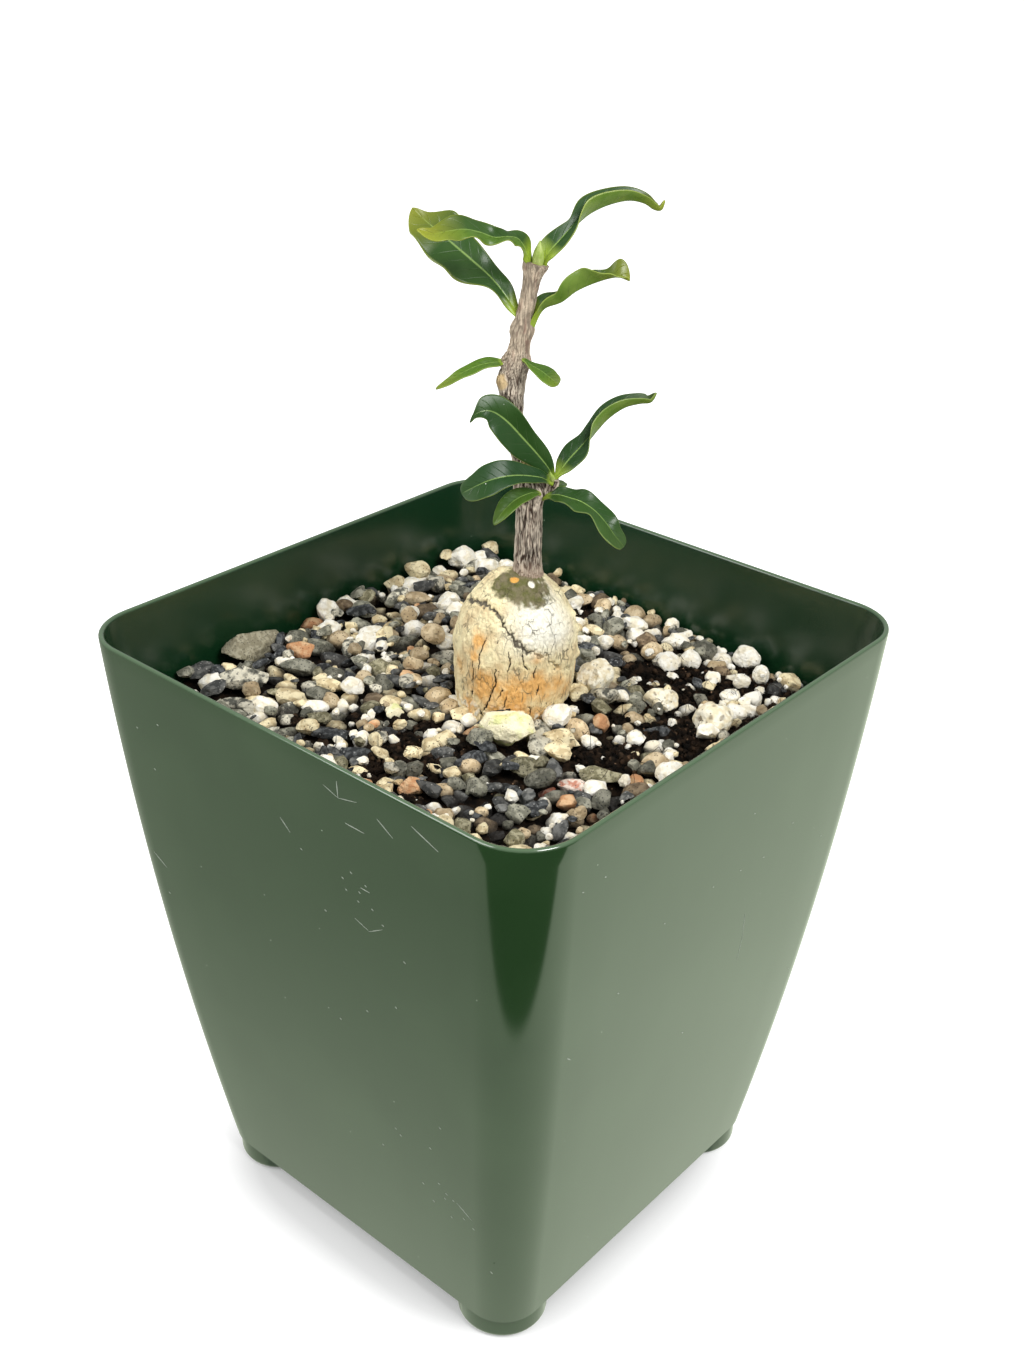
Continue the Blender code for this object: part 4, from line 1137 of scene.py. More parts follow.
def caudexSkin():
    skin = Skin("caudexBark", {"Specular IOR Level": 0.25})
    patch = skin.use("blotches", size=3.2, detail=4.0, low=0.46, high=0.70)
    wash = skin.use("blotches", size=1.8, detail=5.0, low=0.25, high=0.60)
    blush = (skin.mark("blush") * wash.ranged(0, 1, 0.55, 1.15)).ranged(0.04, 0.66)
    # a painted highlight: the upper right, as far round as the shoulder goes, is painted pale
    shoulder = skin.height(*barkLook["highlightFrom"]) * abs(skin.mark("turn") - 0.55).ranged(0.95, 0.25)
    ridges = skin.use("grain", width=0.5, stretch=4.0)
    net = skin.use("crackle", width=1.5, stretch=2.6, line=0.05)
    net = net * skin.use("blotches", size=3.0, detail=3.0, low=0.45, high=0.65)
    moss = skin.use("blotches", size=1.3, detail=6.0, low=0.40, high=0.62)
    pores = skin.use("flecks", spacing=1.3, radius=0.12, share=0.30)
    dark = skin.mark("crack").ranged(0.3, 0.75).math("MAXIMUM", pores * 0.7)
    skin.paint(patch.blend(barkLook["cream"], barkLook["tan"]), (blush, barkLook["ochre"]),
               (shoulder, barkLook["pale"]), (ridges.ranged(0.35, 0.0) * 0.3, barkLook["tan"]),
               (skin.mark("flaky"), barkLook["skin"]), (net * 0.7, barkLook["fissure"]),
               (skin.mark("cap"), moss.blend(barkLook["cap"], barkLook["moss"])),
               (skin.mark("fissure").ranged(0.25, 0.8), barkLook["fissure"]), (dark, barkLook["crack"]),
               (skin.mark("orangeScar"), barkLook["scarOrange"]), (skin.mark("whiteScar"), barkLook["pale"]))
    skin.set({"Roughness": patch.ranged(0, 1, 0.7, 0.9)})
    fine = skin.use("blotches", size=0.7, detail=5.0, low=0.2, high=0.8)
    skin.emboss(fine + ridges - net, 0.22)
    return skin.material


buildCaudex()
print("caudex built")


# Stem and side shoot

stem = {
    # right, back, up, radius
    "path": ((1.9, 0, 124.2, 2.75), (1.9, 0, 125.6, 2.45), (1.9, 0, 129, 2.25), (1.9, 0, 136.3, 2.25),
             (1.5, 0, 139.2, 2.3), (0.9, 0, 143.4, 1.8), (-1, 0, 150.5, 1.75), (-1.3, 0, 154, 1.9),
             (-1.3, 0, 157.4, 2.2), (-0.7, 0, 160.4, 2.05), (-0.2, 0, 163.1, 1.7), (0.3, 0, 167.2, 1.4),
             (1, 0, 170.9, 1.3), (1.4, 0, 173.7, 1.4), (1.9, 0, 175.8, 1.75)),
    "around": 120, "rings": 430, "ridge": 0.20, "ridgeWidth": 0.36, "ridgeLength": 4.4,
    # swellings: turn in degrees, height, radius, lift
    "knobs": ((-60, 157.6, 1.2, 0.55), (-20, 155.6, 1.0, 0.35), (60, 139.2, 1.6, 0.9),
              (-100, 160.5, 1.0, 0.5), (70, 160.3, 1.0, 0.5), (-90, 165.6, 1.1, 0.45), (80, 165.6, 1.1, 0.5),
              (-20, 150.0, 0.9, 0.3), (-90, 175.4, 1.2, 0.4), (90, 175.2, 1.2, 0.4), (100, 149.0, 1.0, 0.3)),
    "scars": ((-50, 157.6, 1.25), (15, 144.2, 0.9)),
}
shoot = {
    "path": ((3.0, 0, 138.9, 1.5), (4.3, 0, 139.4, 1.2), (4.8, 0, 139.6, 1.15), (5.4, -0.4, 140.3, 1.15),
             (5.4, -0.7, 141.3, 1.2)),
    "around": 60, "rings": 50, "ridge": 0.10, "ridgeWidth": 0.7, "ridgeLength": 2.0, "knobs": (), "scars": (),
}
stemLook = {
    "ridge": (0.66, 0.57, 0.455), "furrow": (0.040, 0.025, 0.017), "young": (0.56, 0.46, 0.34),
    "collar": (0.40, 0.29, 0.21), "scar": (0.62, 0.46, 0.25), "flush": (0.24, 0.13, 0.095),
    "youngFrom": (156, 163), "flushFrom": (158, 165), "collarFrom": (127.5, 124.5),
}


def stemSkin():
    skin = Skin("stemBark", {"Specular IOR Level": 0.25})
    furrow = skin.mark("furrow")
    young = (furrow * 0.6).blend(stemLook["young"], stemLook["furrow"])
    flush = skin.use("grain", width=0.7, stretch=5.0).ranged(0.55, 0.8)
    flush = flush * skin.height(*stemLook["flushFrom"], 0.2, 0.6)
    old = furrow.blend(stemLook["ridge"], stemLook["furrow"])
    colour = skin.height(*stemLook["youngFrom"]).blend(old, young)
    patch = skin.use("blotches", size=1.6, detail=4.0, low=0.4, high=0.65)
    colour = skin.use("toneShift", colour=flush.blend(colour, stemLook["flush"]), tone=patch, spread=0.45)
    skin.paint(colour, (skin.height(*stemLook["collarFrom"]) * 0.75, stemLook["collar"]),
               (skin.mark("scar"), stemLook["scar"]))
    skin.set({"Roughness": patch.ranged(0, 1, 0.75, 0.92)})
    skin.emboss(skin.use("grain", width=0.28, stretch=4.0), 0.08)
    return skin.material


def buildLimb(name, limb, skin, node):
    path = smoothPath(limb["path"], limb["rings"])
    centres, radii = path[:, :3], path[:, 3]
    ahead = unit(np.gradient(centres, axis=0))
    across = unit(np.cross((0.0, 1.0, 0.0), ahead))
    level = np.cross(ahead, across)
    turns = np.linspace(-math.pi, math.pi, limb["around"], endpoint=False)
    spin = across[:, None] * np.sin(turns)[:, None] - level[:, None] * np.cos(turns)[:, None]
    spin = spin.reshape(-1, 3)
    middle = np.repeat(centres, len(turns), axis=0)
    radius = np.repeat(radii, len(turns))
    skinAt = middle + spin * radius[:, None]
    # furrows follow the limb: noise stretched upwards, doubled by a finer set
    width, length = limb["ridgeWidth"], limb["ridgeLength"]
    sway = skinAt.copy()
    sway[:, 0] += 0.25 * noiseAt(skinAt, 2.0, 13.0)
    coarseRidge = 1 - np.abs(noiseAt(sway, (width, width, length), 3.0)) * 3.4
    fineRidge = 1 - np.abs(noiseAt(skinAt, (width * 0.55, width * 0.55, length * 0.6), 8.0)) * 3.0
    furrow = np.clip(np.maximum(step(0.25, 0.75, coarseRidge), 0.6 * step(0.30, 0.85, fineRidge)), 0, 1)
    z = skinAt[:, 2]
    strength = limb["ridge"] * (1 - 0.55 * step(160, 168, z))
    rise = -strength * furrow + 0.12 * noiseAt(skinAt, 2.2, 5.0, 2)
    turn = np.tile(turns, len(centres))
    scar = np.zeros(len(z))
    for knobTurn, knobHeight, size, lift in limb["knobs"]:
        away = np.hypot((turn - math.radians(knobTurn)) * radius, z - knobHeight) / size
        rise += lift * bell(away)
    for scarTurn, scarHeight, size in limb["scars"]:
        away = np.hypot((turn - math.radians(scarTurn)) * radius, z - scarHeight) / size
        disc = 1 - step(0.7, 1.1, away + 0.3 * noiseAt(skinAt, 0.8, 9.0))
        scar = np.maximum(scar, disc)
    points = skinAt + spin * rise[:, None]
    marks = {"furrow": furrow * (1 - scar), "scar": scar}
    mesh = makeMesh(name, plantToPot(points), ringFaces(len(centres), len(turns)), marks)
    addPiece(name, mesh, skin, (node,))


stemBark = stemSkin()
buildLimb("trunk", stem, stemBark, "main_stem")
buildLimb("shoot_stub", shoot, stemBark, "side_shoot")
print("stem built")


# Leaves. Right and left are the blade's halves, looking from base to tip with the upper face up.
# Each half has its reach at seven even places along the blade, its fold in degrees from base to tip,
# its edge waves as (waves, height, shift) and how light its green is, partly fresh and partly painted light.

leaves = {
    "crown_left": {
        "midrib": ((1.1, 0, 174.6), (0.8, -0.2, 176.3), (0.3, -0.7, 177.8), (-0.9, -1.8, 179.7),
                   (-2.3, -3, 180.3), (-4.4, -4.5, 180.5), (-6.5, -5.5, 181.4), (-8.8, -6.5, 182),
                   (-11.3, -8, 182), (-13.3, -9, 181.9), (-15.4, -9.5, 182.6)),
        "faces": ((0.3, -0.4, 0.9), (0, -0.3, 0.95)), "petiole": 0.85, "tip": 1.3, "yellow": 0.65,
        "right": {"reach": (0.9, 1.9, 1.0, 1.6, 2.4, 2.4, 1.2), "fold": (15, 25, 30, 30, 35, 25, 20, 30, 30),
                  "waves": (4.0, 0.6, 0.3), "freshAndLit": 0.3},
        "left": {"reach": (1.2, 1.4, 1.3, 1.4, 1.6, 1.8, 2.4), "fold": (10, -10, -20, 0, -5, -15, -5, 0, 10),
                 "waves": (5.0, 0.55, 0.0), "freshAndLit": 0.9}},
    "crown_right": {
        "midrib": ((3.0, 0.2, 174.8), (3.2, 0.4, 176.1), (3.9, 0.8, 177.3), (5.2, 1.5, 178.6), (7, 3, 180.3),
                   (8.3, 4, 181.5), (10, 5, 182.6), (12.6, 6, 183.6), (15.7, 7, 184.1), (18.2, 7.6, 183.6),
                   (19.8, 8, 182.6), (20.9, 8.1, 182.5), (21.3, 8, 183.8)),
        "faces": ((-0.5, -0.8, 0.4), (-0.3, -0.4, 0.8), (-0.1, -0.2, 1)), "petiole": 0.6, "tip": 1.3,
        "yellow": 0.5,
        "right": {"reach": (1.3, 1.8, 2.0, 2.8, 2.2, 1.2, 0.9), "fold": (5, 5, 15, 45, 72, 75, 72, 60, 60),
                  "waves": (2.5, 0.25, 0.0), "freshAndLit": 0.15},
        "left": {"reach": (2.1, 2.2, 0.9, 2.8, 2.3, 1.5, 0.9), "fold": (5, 10, 25, 30, 35, 35, 35, 35, 30),
                 "waves": (2.5, 0.25, 0.4), "freshAndLit": 0.15}},
    "upper_left": {
        "midrib": ((0.3, 0, 166.2), (-1, 0.3, 168.2), (-2.9, 1.2, 170.7), (-5.1, 2.2, 173),
                   (-7.9, 3.5, 175.1), (-10.6, 4.6, 177), (-13.3, 5.6, 178.9), (-15.5, 6.5, 180.5),
                   (-17.2, 7, 182)),
        "faces": ((0.4, -0.7, 0.6), (0.4, -0.8, 0.5)), "petiole": 0.55, "tip": 1.2, "yellow": 0.5,
        "right": {"reach": (0.8, 1.8, 2.1, 2.5, 3.3, 4.4, 1.3), "fold": (8, 10, 10, 15, 15),
                  "waves": (4.0, 0.5, 0.2), "freshAndLit": 0.25},
        "left": {"reach": (0.9, 1.1, 2.8, 5.4, 4.8, 4.1, 3.7), "fold": (8, 10, 10, 5, 15),
                 "waves": (4.0, 0.5, 0.0), "freshAndLit": 0.25}},
    "upper_right": {
        "midrib": ((1.4, -0.2, 166.2), (2.3, -0.5, 168.2), (3.5, -0.8, 169.6), (5.9, -1.3, 170.6),
                   (8, -1.8, 172.3), (10.3, -2.3, 173.6), (12.6, -2.7, 174.6), (14.4, -3, 174.9),
                   (16, -3, 174.3)),
        "faces": ((-0.5, 0, 0.8), (-0.1, -0.1, 1), (0.1, -0.1, 1)), "petiole": 0.85, "tip": 1.2,
        "yellow": 0.45,
        "right": {"reach": (1.0, 1.4, 1.6, 2.6, 2.9, 1.2, 1.2), "fold": (10, 20, 35, 70, 88, 88, 45, 0, 80),
                  "waves": (4.0, 0.35, 0.0), "freshAndLit": 0.4},
        "left": {"reach": (1.2, 2.0, 1.9, 1.8, 2.0, 1.2, 3.0), "fold": (30, 45, 50, 40, 45, 45, 50, 45, 40),
                 "waves": (4.5, 0.75, 0.3), "freshAndLit": 0.25}},
    "middle_left": {
        "midrib": ((-1.5, 0, 160.2), (-3.3, -0.3, 160.3), (-4.5, -1, 160.4), (-6.7, -1.8, 160.1),
                   (-8.8, -2.6, 159.3), (-10.8, -3.2, 158.2), (-13.1, -3.5, 156.9)),
        "faces": ((0, -0.4, 0.9), (-0.3, -0.3, 0.9)), "petiole": 0.4, "tip": 1.3, "yellow": 0.3,
        "right": {"reach": (0.5, 1.1, 1.2, 1.1, 1.0, 0.9, 0.6), "fold": (20, 20, 20), "waves": (3, 0.12, 0),
                  "freshAndLit": 0.95},
        "left": {"reach": (0.6, 1.2, 1.3, 1.4, 1.5, 1.4, 1.1), "fold": (15, 5, 10), "waves": (3, 0.12, 0),
                 "freshAndLit": 1.0}},
    "middle_right": {
        "midrib": ((-0.3, -1, 161.5), (0.7, -1.9, 161.2), (1.5, -2.6, 160.7), (3.1, -3.6, 160.1),
                   (4.5, -4.4, 159.3), (5.8, -5, 158.5)),
        "faces": ((0.3, -0.5, 0.8), (0.5, -0.5, 0.7)), "petiole": 0.4, "tip": 2.0, "yellow": 0.2,
        "right": {"reach": (0.3, 0.4, 0.6, 1.1, 1.5, 1.7, 1.6), "fold": (10, 5, 5), "waves": (1, 0.1, 0),
                  "freshAndLit": 0.9},
        "left": {"reach": (0.3, 0.4, 0.6, 0.9, 1.4, 1.6, 1.3), "fold": (20, 25, 20), "waves": (1, 0.1, 0),
                 "freshAndLit": 0.6}},
    "shoot_top": {
        "midrib": ((5.7, 0.2, 140.6), (5.3, -0.3, 142.1), (4.4, -1.2, 143.9), (2.5, -2.2, 146.6),
                   (0.4, -2.9, 149.2), (-1.7, -3.6, 151.7), (-3.5, -4.2, 153.3), (-4.9, -4.8, 154),
                   (-6.1, -5.3, 153.9), (-7.1, -5.7, 153.4), (-7.7, -5.8, 152.4)),
        "faces": ((0.4, -0.9, 0.3), (0.2, -0.9, 0.4), (-0.3, -0.8, 0.6)), "petiole": 0.45, "tip": 1.2,
        "yellow": 0.02,
        "right": {"reach": (0.7, 1.9, 2.0, 2.6, 2.8, 2.3, 0.3), "fold": (12, 12, 10, 10, 15),
                  "waves": (2.5, 0.55, 0.1), "freshAndLit": 0.2},
        "left": {"reach": (0.7, 1.8, 3.3, 3.7, 2.6, 1.3, 0.8), "fold": (12, 12, 12, 10, 20),
                 "waves": (2.5, 0.5, 0.0), "freshAndLit": 0.1}},
    "shoot_right": {
        "midrib": ((5.6, -0.6, 140.9), (6.7, 0, 142.4), (8.3, 1, 144.3), (10, 2.2, 145.8), (11.2, 3, 147.1),
                   (12.4, 3.8, 148.4), (14.2, 4.8, 150.1), (16.7, 5.7, 151.6), (19.2, 6.4, 152.1),
                   (21.1, 6.9, 152.2), (21.9, 7, 153.6)),
        "faces": ((-0.5, -0.8, 0.4), (-0.3, -0.4, 0.8), (-0.1, -0.2, 1)), "petiole": 0.45, "tip": 1.3,
        "yellow": 0.08,
        "right": {"reach": (1.6, 2.6, 2.2, 2.4, 2.2, 1.4, 0.9), "fold": (5, 5, 10, 50, 78, 78, 72, 60, 60),
                  "waves": (2, 0.15, 0.0), "freshAndLit": 0.1},
        "left": {"reach": (1.6, 2.3, 1.5, 1.7, 2.3, 1.8, 1.4), "fold": (5, 10, 20, 25, 30, 35, 35, 30),
                 "waves": (2, 0.15, 0.4), "freshAndLit": 0.1}},
    "shoot_left": {
        "midrib": ((5.5, -1.5, 141), (4.4, -2.5, 141.9), (3.2, -4, 142.9), (0.7, -5.5, 143.7),
                   (-1.7, -7, 144.1), (-4.3, -8, 143.8), (-6.5, -8.6, 143), (-8.8, -9, 141.8)),
        "faces": ((0.2, -0.8, 0.6), (-0.1, -0.7, 0.7)), "petiole": 0.5, "tip": 1.9, "yellow": 0.02,
        "right": {"reach": (0.8, 1.3, 1.7, 2.4, 2.8, 2.6, 1.8), "fold": (12, 10, 10, 10),
                  "waves": (2, 0.2, 0.1), "freshAndLit": 0.03},
        "left": {"reach": (0.6, 0.8, 1.2, 1.6, 2.0, 2.7, 2.6), "fold": (12, 12, 10, 10),
                 "waves": (2.5, 0.2, 0.0), "freshAndLit": 0.05}},
    "shoot_back": {
        "midrib": ((6, 0.4, 139.6), (6.8, 1.6, 139.6), (7.7, 3.2, 139.2)),
        "faces": ((0.2, -0.5, 0.9), (0.2, -0.3, 0.9)), "petiole": 0.3, "tip": 1.6, "yellow": 0.1,
        "right": {"reach": (0.5, 0.8, 0.9, 1.0, 0.9, 0.8, 0.6), "fold": (15, 12, 10), "waves": (1, 0.1, 0),
                  "freshAndLit": 0.5},
        "left": {"reach": (0.5, 0.8, 0.9, 1.0, 0.9, 0.8, 0.6), "fold": (15, 12, 10), "waves": (1, 0.1, 0),
                 "freshAndLit": 0.5}},
    "node_left": {
        "midrib": ((3.6, -1.8, 139.3), (2.8, -3, 139.9), (1.6, -4, 140), (-0.4, -6, 139.7), (-2.2, -8, 138.6),
                   (-3.7, -9, 136.7)),
        "faces": ((0.3, -0.5, 0.8), (-0.2, -0.6, 0.8)), "petiole": 0.4, "tip": 1.2, "yellow": 0.06,
        "right": {"reach": (0.4, 0.7, 1.1, 1.6, 1.8, 1.6, 1.0), "fold": (15, 18, 15), "waves": (2, 0.15, 0.2),
                  "freshAndLit": 0.45},
        "left": {"reach": (0.5, 0.8, 1.0, 1.3, 1.5, 1.4, 1.0), "fold": (10, 8, 10), "waves": (2, 0.15, 0),
                 "freshAndLit": 0.7}},
    "node_right": {
        "midrib": ((3.4, -0.8, 138), (5.2, -1.5, 138.8), (6.6, -2, 139.1), (8.5, -2.8, 138.9),
                   (10.3, -3.6, 138.6), (12.4, -4.8, 137.6), (14.2, -6.5, 136.2), (15.5, -7.5, 134.7),
                   (17.1, -8, 133)),
        "faces": ((0, -0.5, 0.9), (0.5, -0.4, 0.8)), "petiole": 0.6, "tip": 1.9, "yellow": 0.03,
        "right": {"reach": (0.8, 1.4, 2.1, 2.3, 1.8, 2.1, 2.6), "fold": (10, 8, 5, 8), "waves": (3.5, 0.4, 0),
                  "freshAndLit": 0.28},
        "left": {"reach": (0.8, 1.5, 2.0, 2.3, 2.3, 2.1, 1.9), "fold": (20, 18, 15, 12),
                 "waves": (4, 0.45, 0.3), "freshAndLit": 0.15}},
}
blade = {"thick": 0.42, "edgeThick": 0.16, "stations": 72, "across": 10, "petioleEnd": 0.08,
         "ribHalf": 0.4, "ribRise": 0.28, "ribSink": 0.10}
leafLook = {
    "deep": (0.010, 0.046, 0.010), "freshAndLit": (0.090, 0.180, 0.014), "under": (0.145, 0.225, 0.034),
    "rib": (0.26, 0.40, 0.10), "margin": (0.34, 0.44, 0.12), "yellow": (0.42, 0.42, 0.025),
    "petiole": (0.27, 0.38, 0.035), "speck": (0.65, 0.68, 0.60), "veins": 13.0, "veinLean": 1.6,
}


def alongBlade(values, u):
    values = np.asarray(values, float)
    ends = np.linspace(0, 1, len(values))
    if values.ndim == 1:
        return np.interp(u, ends, values)
    return np.column_stack([np.interp(u, ends, values[:, k]) for k in range(values.shape[1])])


def eased(values, passes):
    for _ in range(passes):
        values[1:-1] = (values[:-2] + 2 * values[1:-1] + values[2:]) / 4
    return values


def reachOf(u, leaf, label):
    # petiole, blade, then a tip that runs from pointed (1) to round (2)
    reach = leaf[label]["reach"]
    foot = leaf["petiole"]
    places = [0, blade["petioleEnd"]] + [(k + 1) / 8 for k in range(7)] + [1]
    wide = eased(np.interp(u, places, [foot, foot * 0.8, *reach, reach[-1]]), 8)
    close = np.clip((u - 0.86) / 0.14, 0, 1)
    return np.maximum(wide * (1 - close ** leaf["tip"]) ** (1 / leaf["tip"]), 0.08)


def buildLeaf(name, leaf, skin):
    count, steps = blade["stations"], blade["across"]
    u = np.linspace(0, 1, count)
    spine = smoothPath(leaf["midrib"], count)
    ahead = unit(eased(np.gradient(spine, axis=0), 6))
    look = alongBlade(leaf["faces"], u)
    up = unit(look - ahead * (look * ahead).sum(1)[:, None])
    side = np.cross(ahead, up)
    rows = {}
    for hand, label in ((1, "right"), (-1, "left")):
        half = reachOf(u, leaf, label)
        fold = np.radians(eased(alongBlade(leaf[label]["fold"], u), 10))
        waves, height, shift = leaf[label]["waves"]
        spot, normals, centres = spine.copy(), [], []
        for k in range(steps + 1):
            s = k / steps
            angle = fold * (0.75 + 0.5 * s)
            out = side * hand * np.cos(angle)[:, None] + up * np.sin(angle)[:, None]
            normal = up * np.cos(angle)[:, None] - side * hand * np.sin(angle)[:, None]
            if k:
                spot = spot + out * (half / steps)[:, None]
            ripple = height * np.sin(math.pi * u) * np.sin(2 * math.pi * (waves * u + shift)) * s ** 1.6
            centres.append(spot + normal * ripple[:, None])
            normals.append(normal)
        rows[label] = (centres, normals, half)
    rings, marks, maps = [], {"under": [], "yellow": [], "shade": []}, []
    order = [("left", k) for k in range(steps, 0, -1)] + [("right", k) for k in range(steps + 1)]
    thin = blade["thick"] * (1.7 - 0.7 * np.minimum(u / 0.15, 1)) * (1 - 0.4 * u ** 3)
    for face in (1, -1):
        for label, k in (order if face > 0 else order[::-1]):
            s = k / steps
            centre, normal, half = rows[label][0][k], rows[label][1][k], rows[label][2]
            deep = thin / 2 * (1 - s ** 3) + blade["edgeThick"] / 2 * s ** 3
            rib = bell(s * half / blade["ribHalf"]) * (1 - 0.7 * u)
            deep = deep + rib * (blade["ribRise"] if face < 0 else -blade["ribSink"])
            rings.append(centre + normal * (face * deep)[:, None])
            v = 0.5 + (0.5 if label == "right" else -0.5) * s
            maps.append(np.column_stack((u, np.full(count, v))))
            freshAndLit = leaf[label]["freshAndLit"] if k else (leaf["left"]["freshAndLit"] + leaf["right"]["freshAndLit"]) / 2
            marks["under"].append(np.full(count, 0.0 if face > 0 else 1.0))
            marks["yellow"].append(np.full(count, leaf["yellow"]))
            marks["shade"].append(np.full(count, freshAndLit))
    loops = len(rings)
    points = np.stack(rings, axis=1).reshape(-1, 3)
    flatMarks = {label: np.stack(values, axis=1).ravel() for label, values in marks.items()}
    flatMap = np.stack(maps, axis=1).reshape(-1, 2)
    mesh = makeMesh(name, plantToPot(points), ringFaces(count, loops), flatMarks, flatMap)
    addPiece(name, mesh, skin, ("leaf_" + name,))


def leafSkin():
    skin = Skin("leafSkin", {"Specular IOR Level": 0.34, "Coat Weight": 0.05, "Coat Roughness": 0.25})
    u = put(skin.tree, "SeparateXYZ", {0: put(skin.tree, "UVMap", uv_map="bladeMap")})
    across = abs(u.output(1) * 2.0 - 1.0)
    yellow = skin.mark("yellow")
    patch = skin.use("blotches", size=2.6, detail=3.0, low=0.35, high=0.7)
    specks = skin.use("flecks", spacing=1.3, radius=0.09, share=0.10)
    # shade sets how light each half's green is: partly its freshness, partly painted light on the half the
    # light falls on
    freshAndLit = skin.mark("shade") * patch.ranged(0, 1, 0.75, 1.0)
    # side veins: thin lines that lean towards the tip
    lean = u * leafLook["veins"] - across * leafLook["veinLean"]
    vein = abs(lean.math("FRACT") - 0.5).ranged(0.06, 0.0) * across.ranged(0.95, 0.3)
    rib = (across / u.ranged(0.0, 1.0, 0.11, 0.025)).ranged(1.0, 0.35) * u.ranged(0.5, 1.0, 0.75, 0.3)
    ageing = yellow * u.ranged(0.68, 1.0).math("MAXIMUM", across.ranged(0.9, 1.0, 0.0, 0.4))
    petiole = (u - yellow * 0.16).ranged(0.16, 0.07)         # longer near the crown
    skin.paint(freshAndLit.blend(leafLook["deep"], leafLook["freshAndLit"]),
               (skin.mark("under"), patch.blend(leafLook["under"], leafLook["freshAndLit"])),
               (vein * 0.04, leafLook["rib"]), (rib, leafLook["rib"]),
               (across.ranged(0.96, 1.0) * 0.45, leafLook["margin"]), (ageing, leafLook["yellow"]),
               (petiole, leafLook["petiole"]), (specks * 0.8, leafLook["speck"]))
    skin.set({"Roughness": patch.ranged(0, 1, 0.30, 0.42)})
    skin.emboss(patch * 0.5 - vein, 0.05)
    return skin.material


leafGreen = leafSkin()
for name, leaf in leaves.items():
    buildLeaf(name, leaf, leafGreen)
print("leaves grown")


# Buds

buds = {
    # base (right, back, up), the way it points, length, radius
    "crown_tip": {"node": "crown_bud", "base": (2.0, -0.3, 175.0), "way": (0.1, 0, 1.0), "length": 4.3,
                  "radius": 0.8},
    "shoot_tip": {"node": "shoot_bud", "base": (5.3, -1.4, 141.3), "way": (-0.1, -0.4, 0.9), "length": 2.0,
                  "radius": 0.55},
}
budLook = {"green": (0.30, 0.42, 0.07), "pale": (0.50, 0.58, 0.20), "rings": 26, "around": 28}


def budSkin():
    skin = Skin("budGreen", {"Roughness": 0.45})
    patch = skin.use("blotches", size=1.0, detail=3.0, low=0.35, high=0.7)
    skin.paint(patch.blend(budLook["green"], budLook["pale"]))
    skin.emboss(skin.use("grain", width=0.3, stretch=4.0), 0.05)
    return skin.material


def buildBud(name, bud, skin):
    # two folded scales wrapped round a spindle
    ahead = unit(bud["way"])
    level = unit(np.cross(ahead, (1.0, 0.0, 0.0)))
    across = np.cross(level, ahead)
    rings = []
    for s in np.linspace(0, 1, budLook["rings"]):
        swell = math.sin(math.pi * min(s * 0.8 + 0.2, 1.0)) ** 0.8
        girth = bud["radius"] * (0.35 + 0.65 * swell) * (1 - 0.75 * s ** 4)
        for a in np.linspace(0, 2 * math.pi, budLook["around"], endpoint=False):
            pleat = 1 + 0.16 * math.cos(2 * a + 2.2 * s) + 0.06 * math.cos(5 * a)
            rings.append(np.array(bud["base"]) + ahead * bud["length"] * s
                         + (across * math.cos(a) + level * math.sin(a)) * girth * pleat)
    mesh = makeMesh(name, plantToPot(rings), ringFaces(budLook["rings"], budLook["around"]))
    addPiece(name, mesh, skin, (bud["node"],))


budGreen = budSkin()
for name, bud in buds.items():
    buildBud(name, bud, budGreen)


# Stage: floor, light, camera

stage = {
    "floor": 8.0, "floorLevel": -0.0003, "aim": (0, 0, 0.11),      # metres, and where the lamps point
    "floorWhite": 0.75, "ambient": 0.66, "skyGloss": 0.38,
    # the floor's own light near the pot and away from it, and how far from the middle it changes
    "glow": (0.64, 0.85), "glowReach": (90.0, 320.0),
    # a painted shadow in the floor's own light: its darkest level, where it fades, and its shift away from
    # the light
    "shade": 0.2, "shadeReach": (36.0, 48.0), "shadeShift": 5.0,
    "gloss": (0.42, 0.93), "glossReach": (-180.0, 120.0), "reflectionTint": (0.89, 1.0, 0.78),
    # the painted reflection that gloss sees goes dark beyond a line before the pot's near corner
    "corner": 45.0, "way": (0.658, 0.753), "darkFrom": 54.0, "darkFade": 6.0, "darkLeft": 0.02,
}
lamps = {
    # place and size in metres, power in watts
    "keyLamp": {"at": (0.40, -0.06, 0.54), "size": 0.26, "power": 2.5},
    "fillLamp": {"at": (-0.20, -0.42, 0.46), "size": 0.40, "power": 1.7},
}
camera = {
    "at": (159.40, -182.41, 237.54), "right": (0.75174, 0.65914, 0.02061), "up": (-0.33131, 0.35046, 0.87602),
    "lens": 42.53, "sensor": 36.0, "near": 0.01,           # near is in metres
}


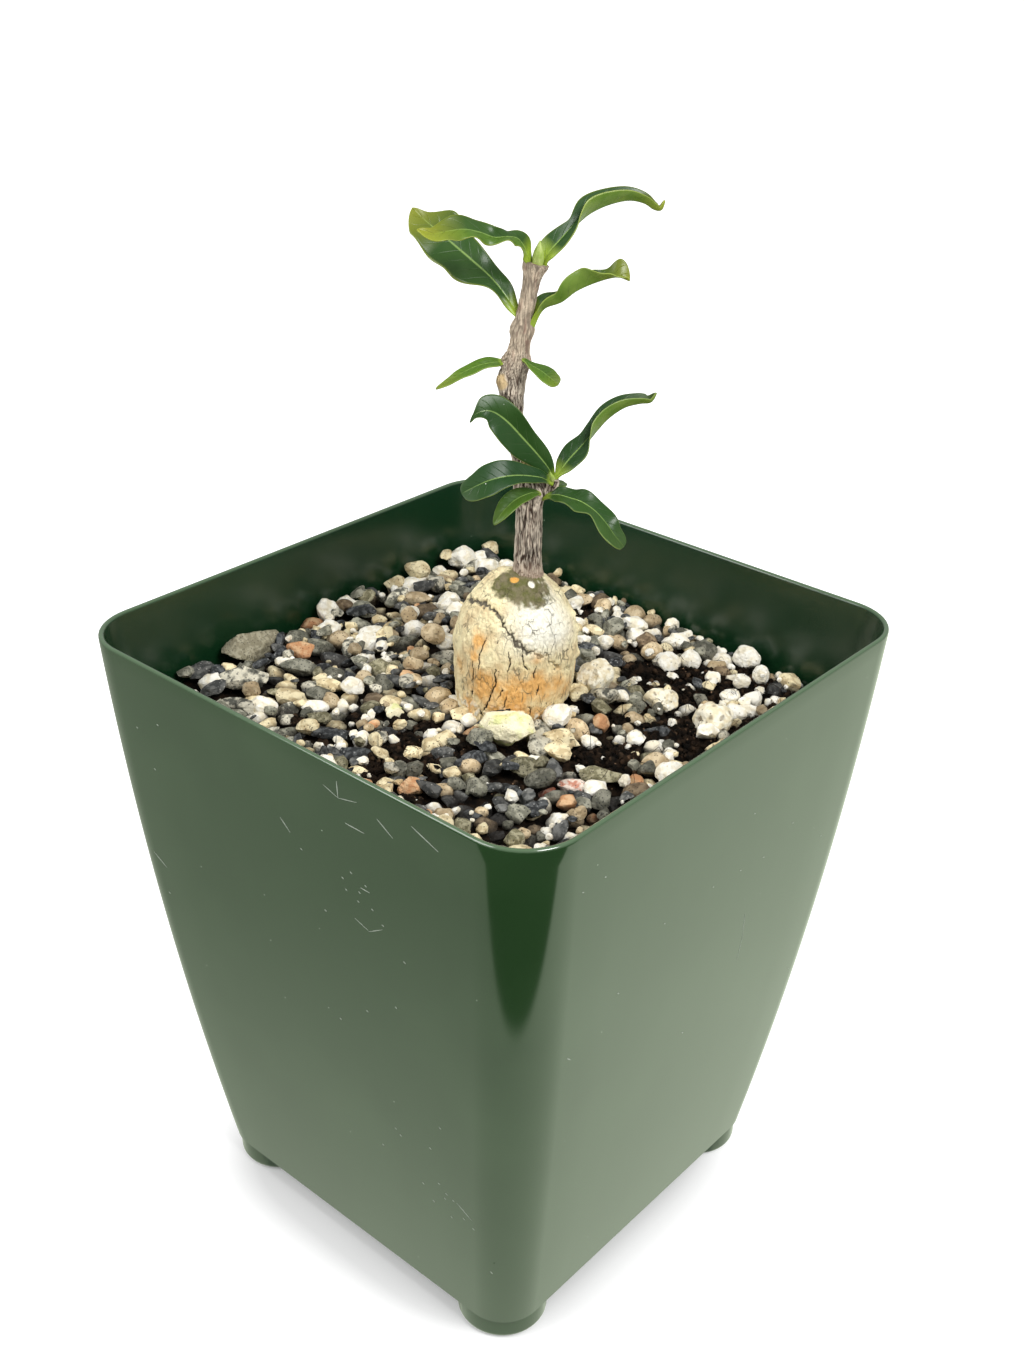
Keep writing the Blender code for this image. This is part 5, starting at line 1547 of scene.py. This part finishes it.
def buildFloor():
    half, low = stage["floor"] / 2, stage["floorLevel"]
    mesh = bpy.data.meshes.new("floor")
    mesh.from_pydata([(x * half, y * half, low) for x, y in ((-1, -1), (1, -1), (1, 1), (-1, 1))], [],
                     [(0, 1, 2, 3)])
    floor = bpy.data.objects.new("floor", mesh)
    scene.collection.objects.link(floor)
    paper = bpy.data.materials.new("whitePaper")
    paper.use_nodes = True
    tree = paper.node_tree
    tree.nodes.remove(tree.nodes["Principled BSDF"])
    rays = put(tree, "LightPath")
    lit = put(tree, "BsdfDiffuse", {"Color": (stage["floorWhite"],) * 3})
    x = put(tree, "SeparateXYZ", {0: put(tree, "NewGeometry", output="Position")})
    x, y = x * 1000.0, x.output(1) * 1000.0
    # a painted shadow: the floor's own light is darker in a rounded square where the pot stands, more so on
    # the side away from the light
    under = (abs(x) ** 4.0 + abs(y + stage["shadeShift"]) ** 4.0) ** 0.25
    away = (x * x + y * y).math("SQRT")
    shade = under.ranged(*stage["shadeReach"], stage["shade"], 1.0)
    level = away.ranged(*stage["glowReach"], *stage["glow"]) * shade
    glow = put(tree, "Emission", {"Color": (1, 1, 1), "Strength": level})
    seen = put(tree, "AddShader", {0: lit, 1: glow})
    # a painted reflection: gloss sees the floor's own light, tinted green, dark beyond a line in front of the
    # pot and brighter towards the light
    forward = (x - stage["corner"]) * stage["way"][0] - (y + stage["corner"]) * stage["way"][1]
    ended = forward.ranged(stage["darkFrom"], stage["darkFrom"] + stage["darkFade"], 1.0, stage["darkLeft"])
    strength = (x + y).ranged(*stage["glossReach"], *stage["gloss"]) * ended
    paintedReflection = put(tree, "Emission", {"Color": stage["reflectionTint"], "Strength": strength})
    shown = put(tree, "MixShader", {0: rays.output("Is Camera Ray"), 1: lit, 2: seen})
    shown = put(tree, "MixShader", {0: rays.output("Is Glossy Ray"), 1: shown, 2: paintedReflection})
    fill(tree.nodes["Material Output"], {"Surface": shown})
    mesh.materials.append(paper)


def buildSky():
    scene.world = bpy.data.worlds.new("studio")
    scene.world.use_nodes = True
    tree = scene.world.node_tree
    rays = put(tree, "LightPath")
    seen = rays.output("Is Camera Ray").math("MAXIMUM", rays.output("Is Transmission Ray"))
    level = rays.output("Is Glossy Ray").ranged(0, 1, stage["ambient"], stage["skyGloss"])
    fill(tree.nodes["Background"], {"Strength": seen.math("MAXIMUM", level), "Color": (1, 1, 1)})


def addLamp(name, at, size, power):
    lamp = bpy.data.lights.new(name, "AREA")
    lamp.shape = "DISK"
    lamp.size = size
    lamp.energy = power
    holder = bpy.data.objects.new(name, lamp)
    holder.location = at
    holder.rotation_euler = (Vector(stage["aim"]) - Vector(at)).to_track_quat("-Z", "Y").to_euler()
    scene.collection.objects.link(holder)


def buildCamera():
    eye = bpy.data.cameras.new("eye")
    eye.lens = camera["lens"]
    eye.sensor_width = camera["sensor"]
    eye.clip_start = camera["near"]
    holder = bpy.data.objects.new("eye", eye)
    right, up = Vector(camera["right"]), Vector(camera["up"])
    turn = Matrix((right, up, right.cross(up))).transposed()
    holder.matrix_world = Matrix.Translation(Vector(camera["at"]) * mm) @ turn.to_4x4()
    scene.collection.objects.link(holder)
    scene.camera = holder


buildFloor()
buildSky()
for name, lamp in lamps.items():
    addLamp(name, **lamp)
buildCamera()
scene.view_settings.view_transform = "Standard"
print("stage set")
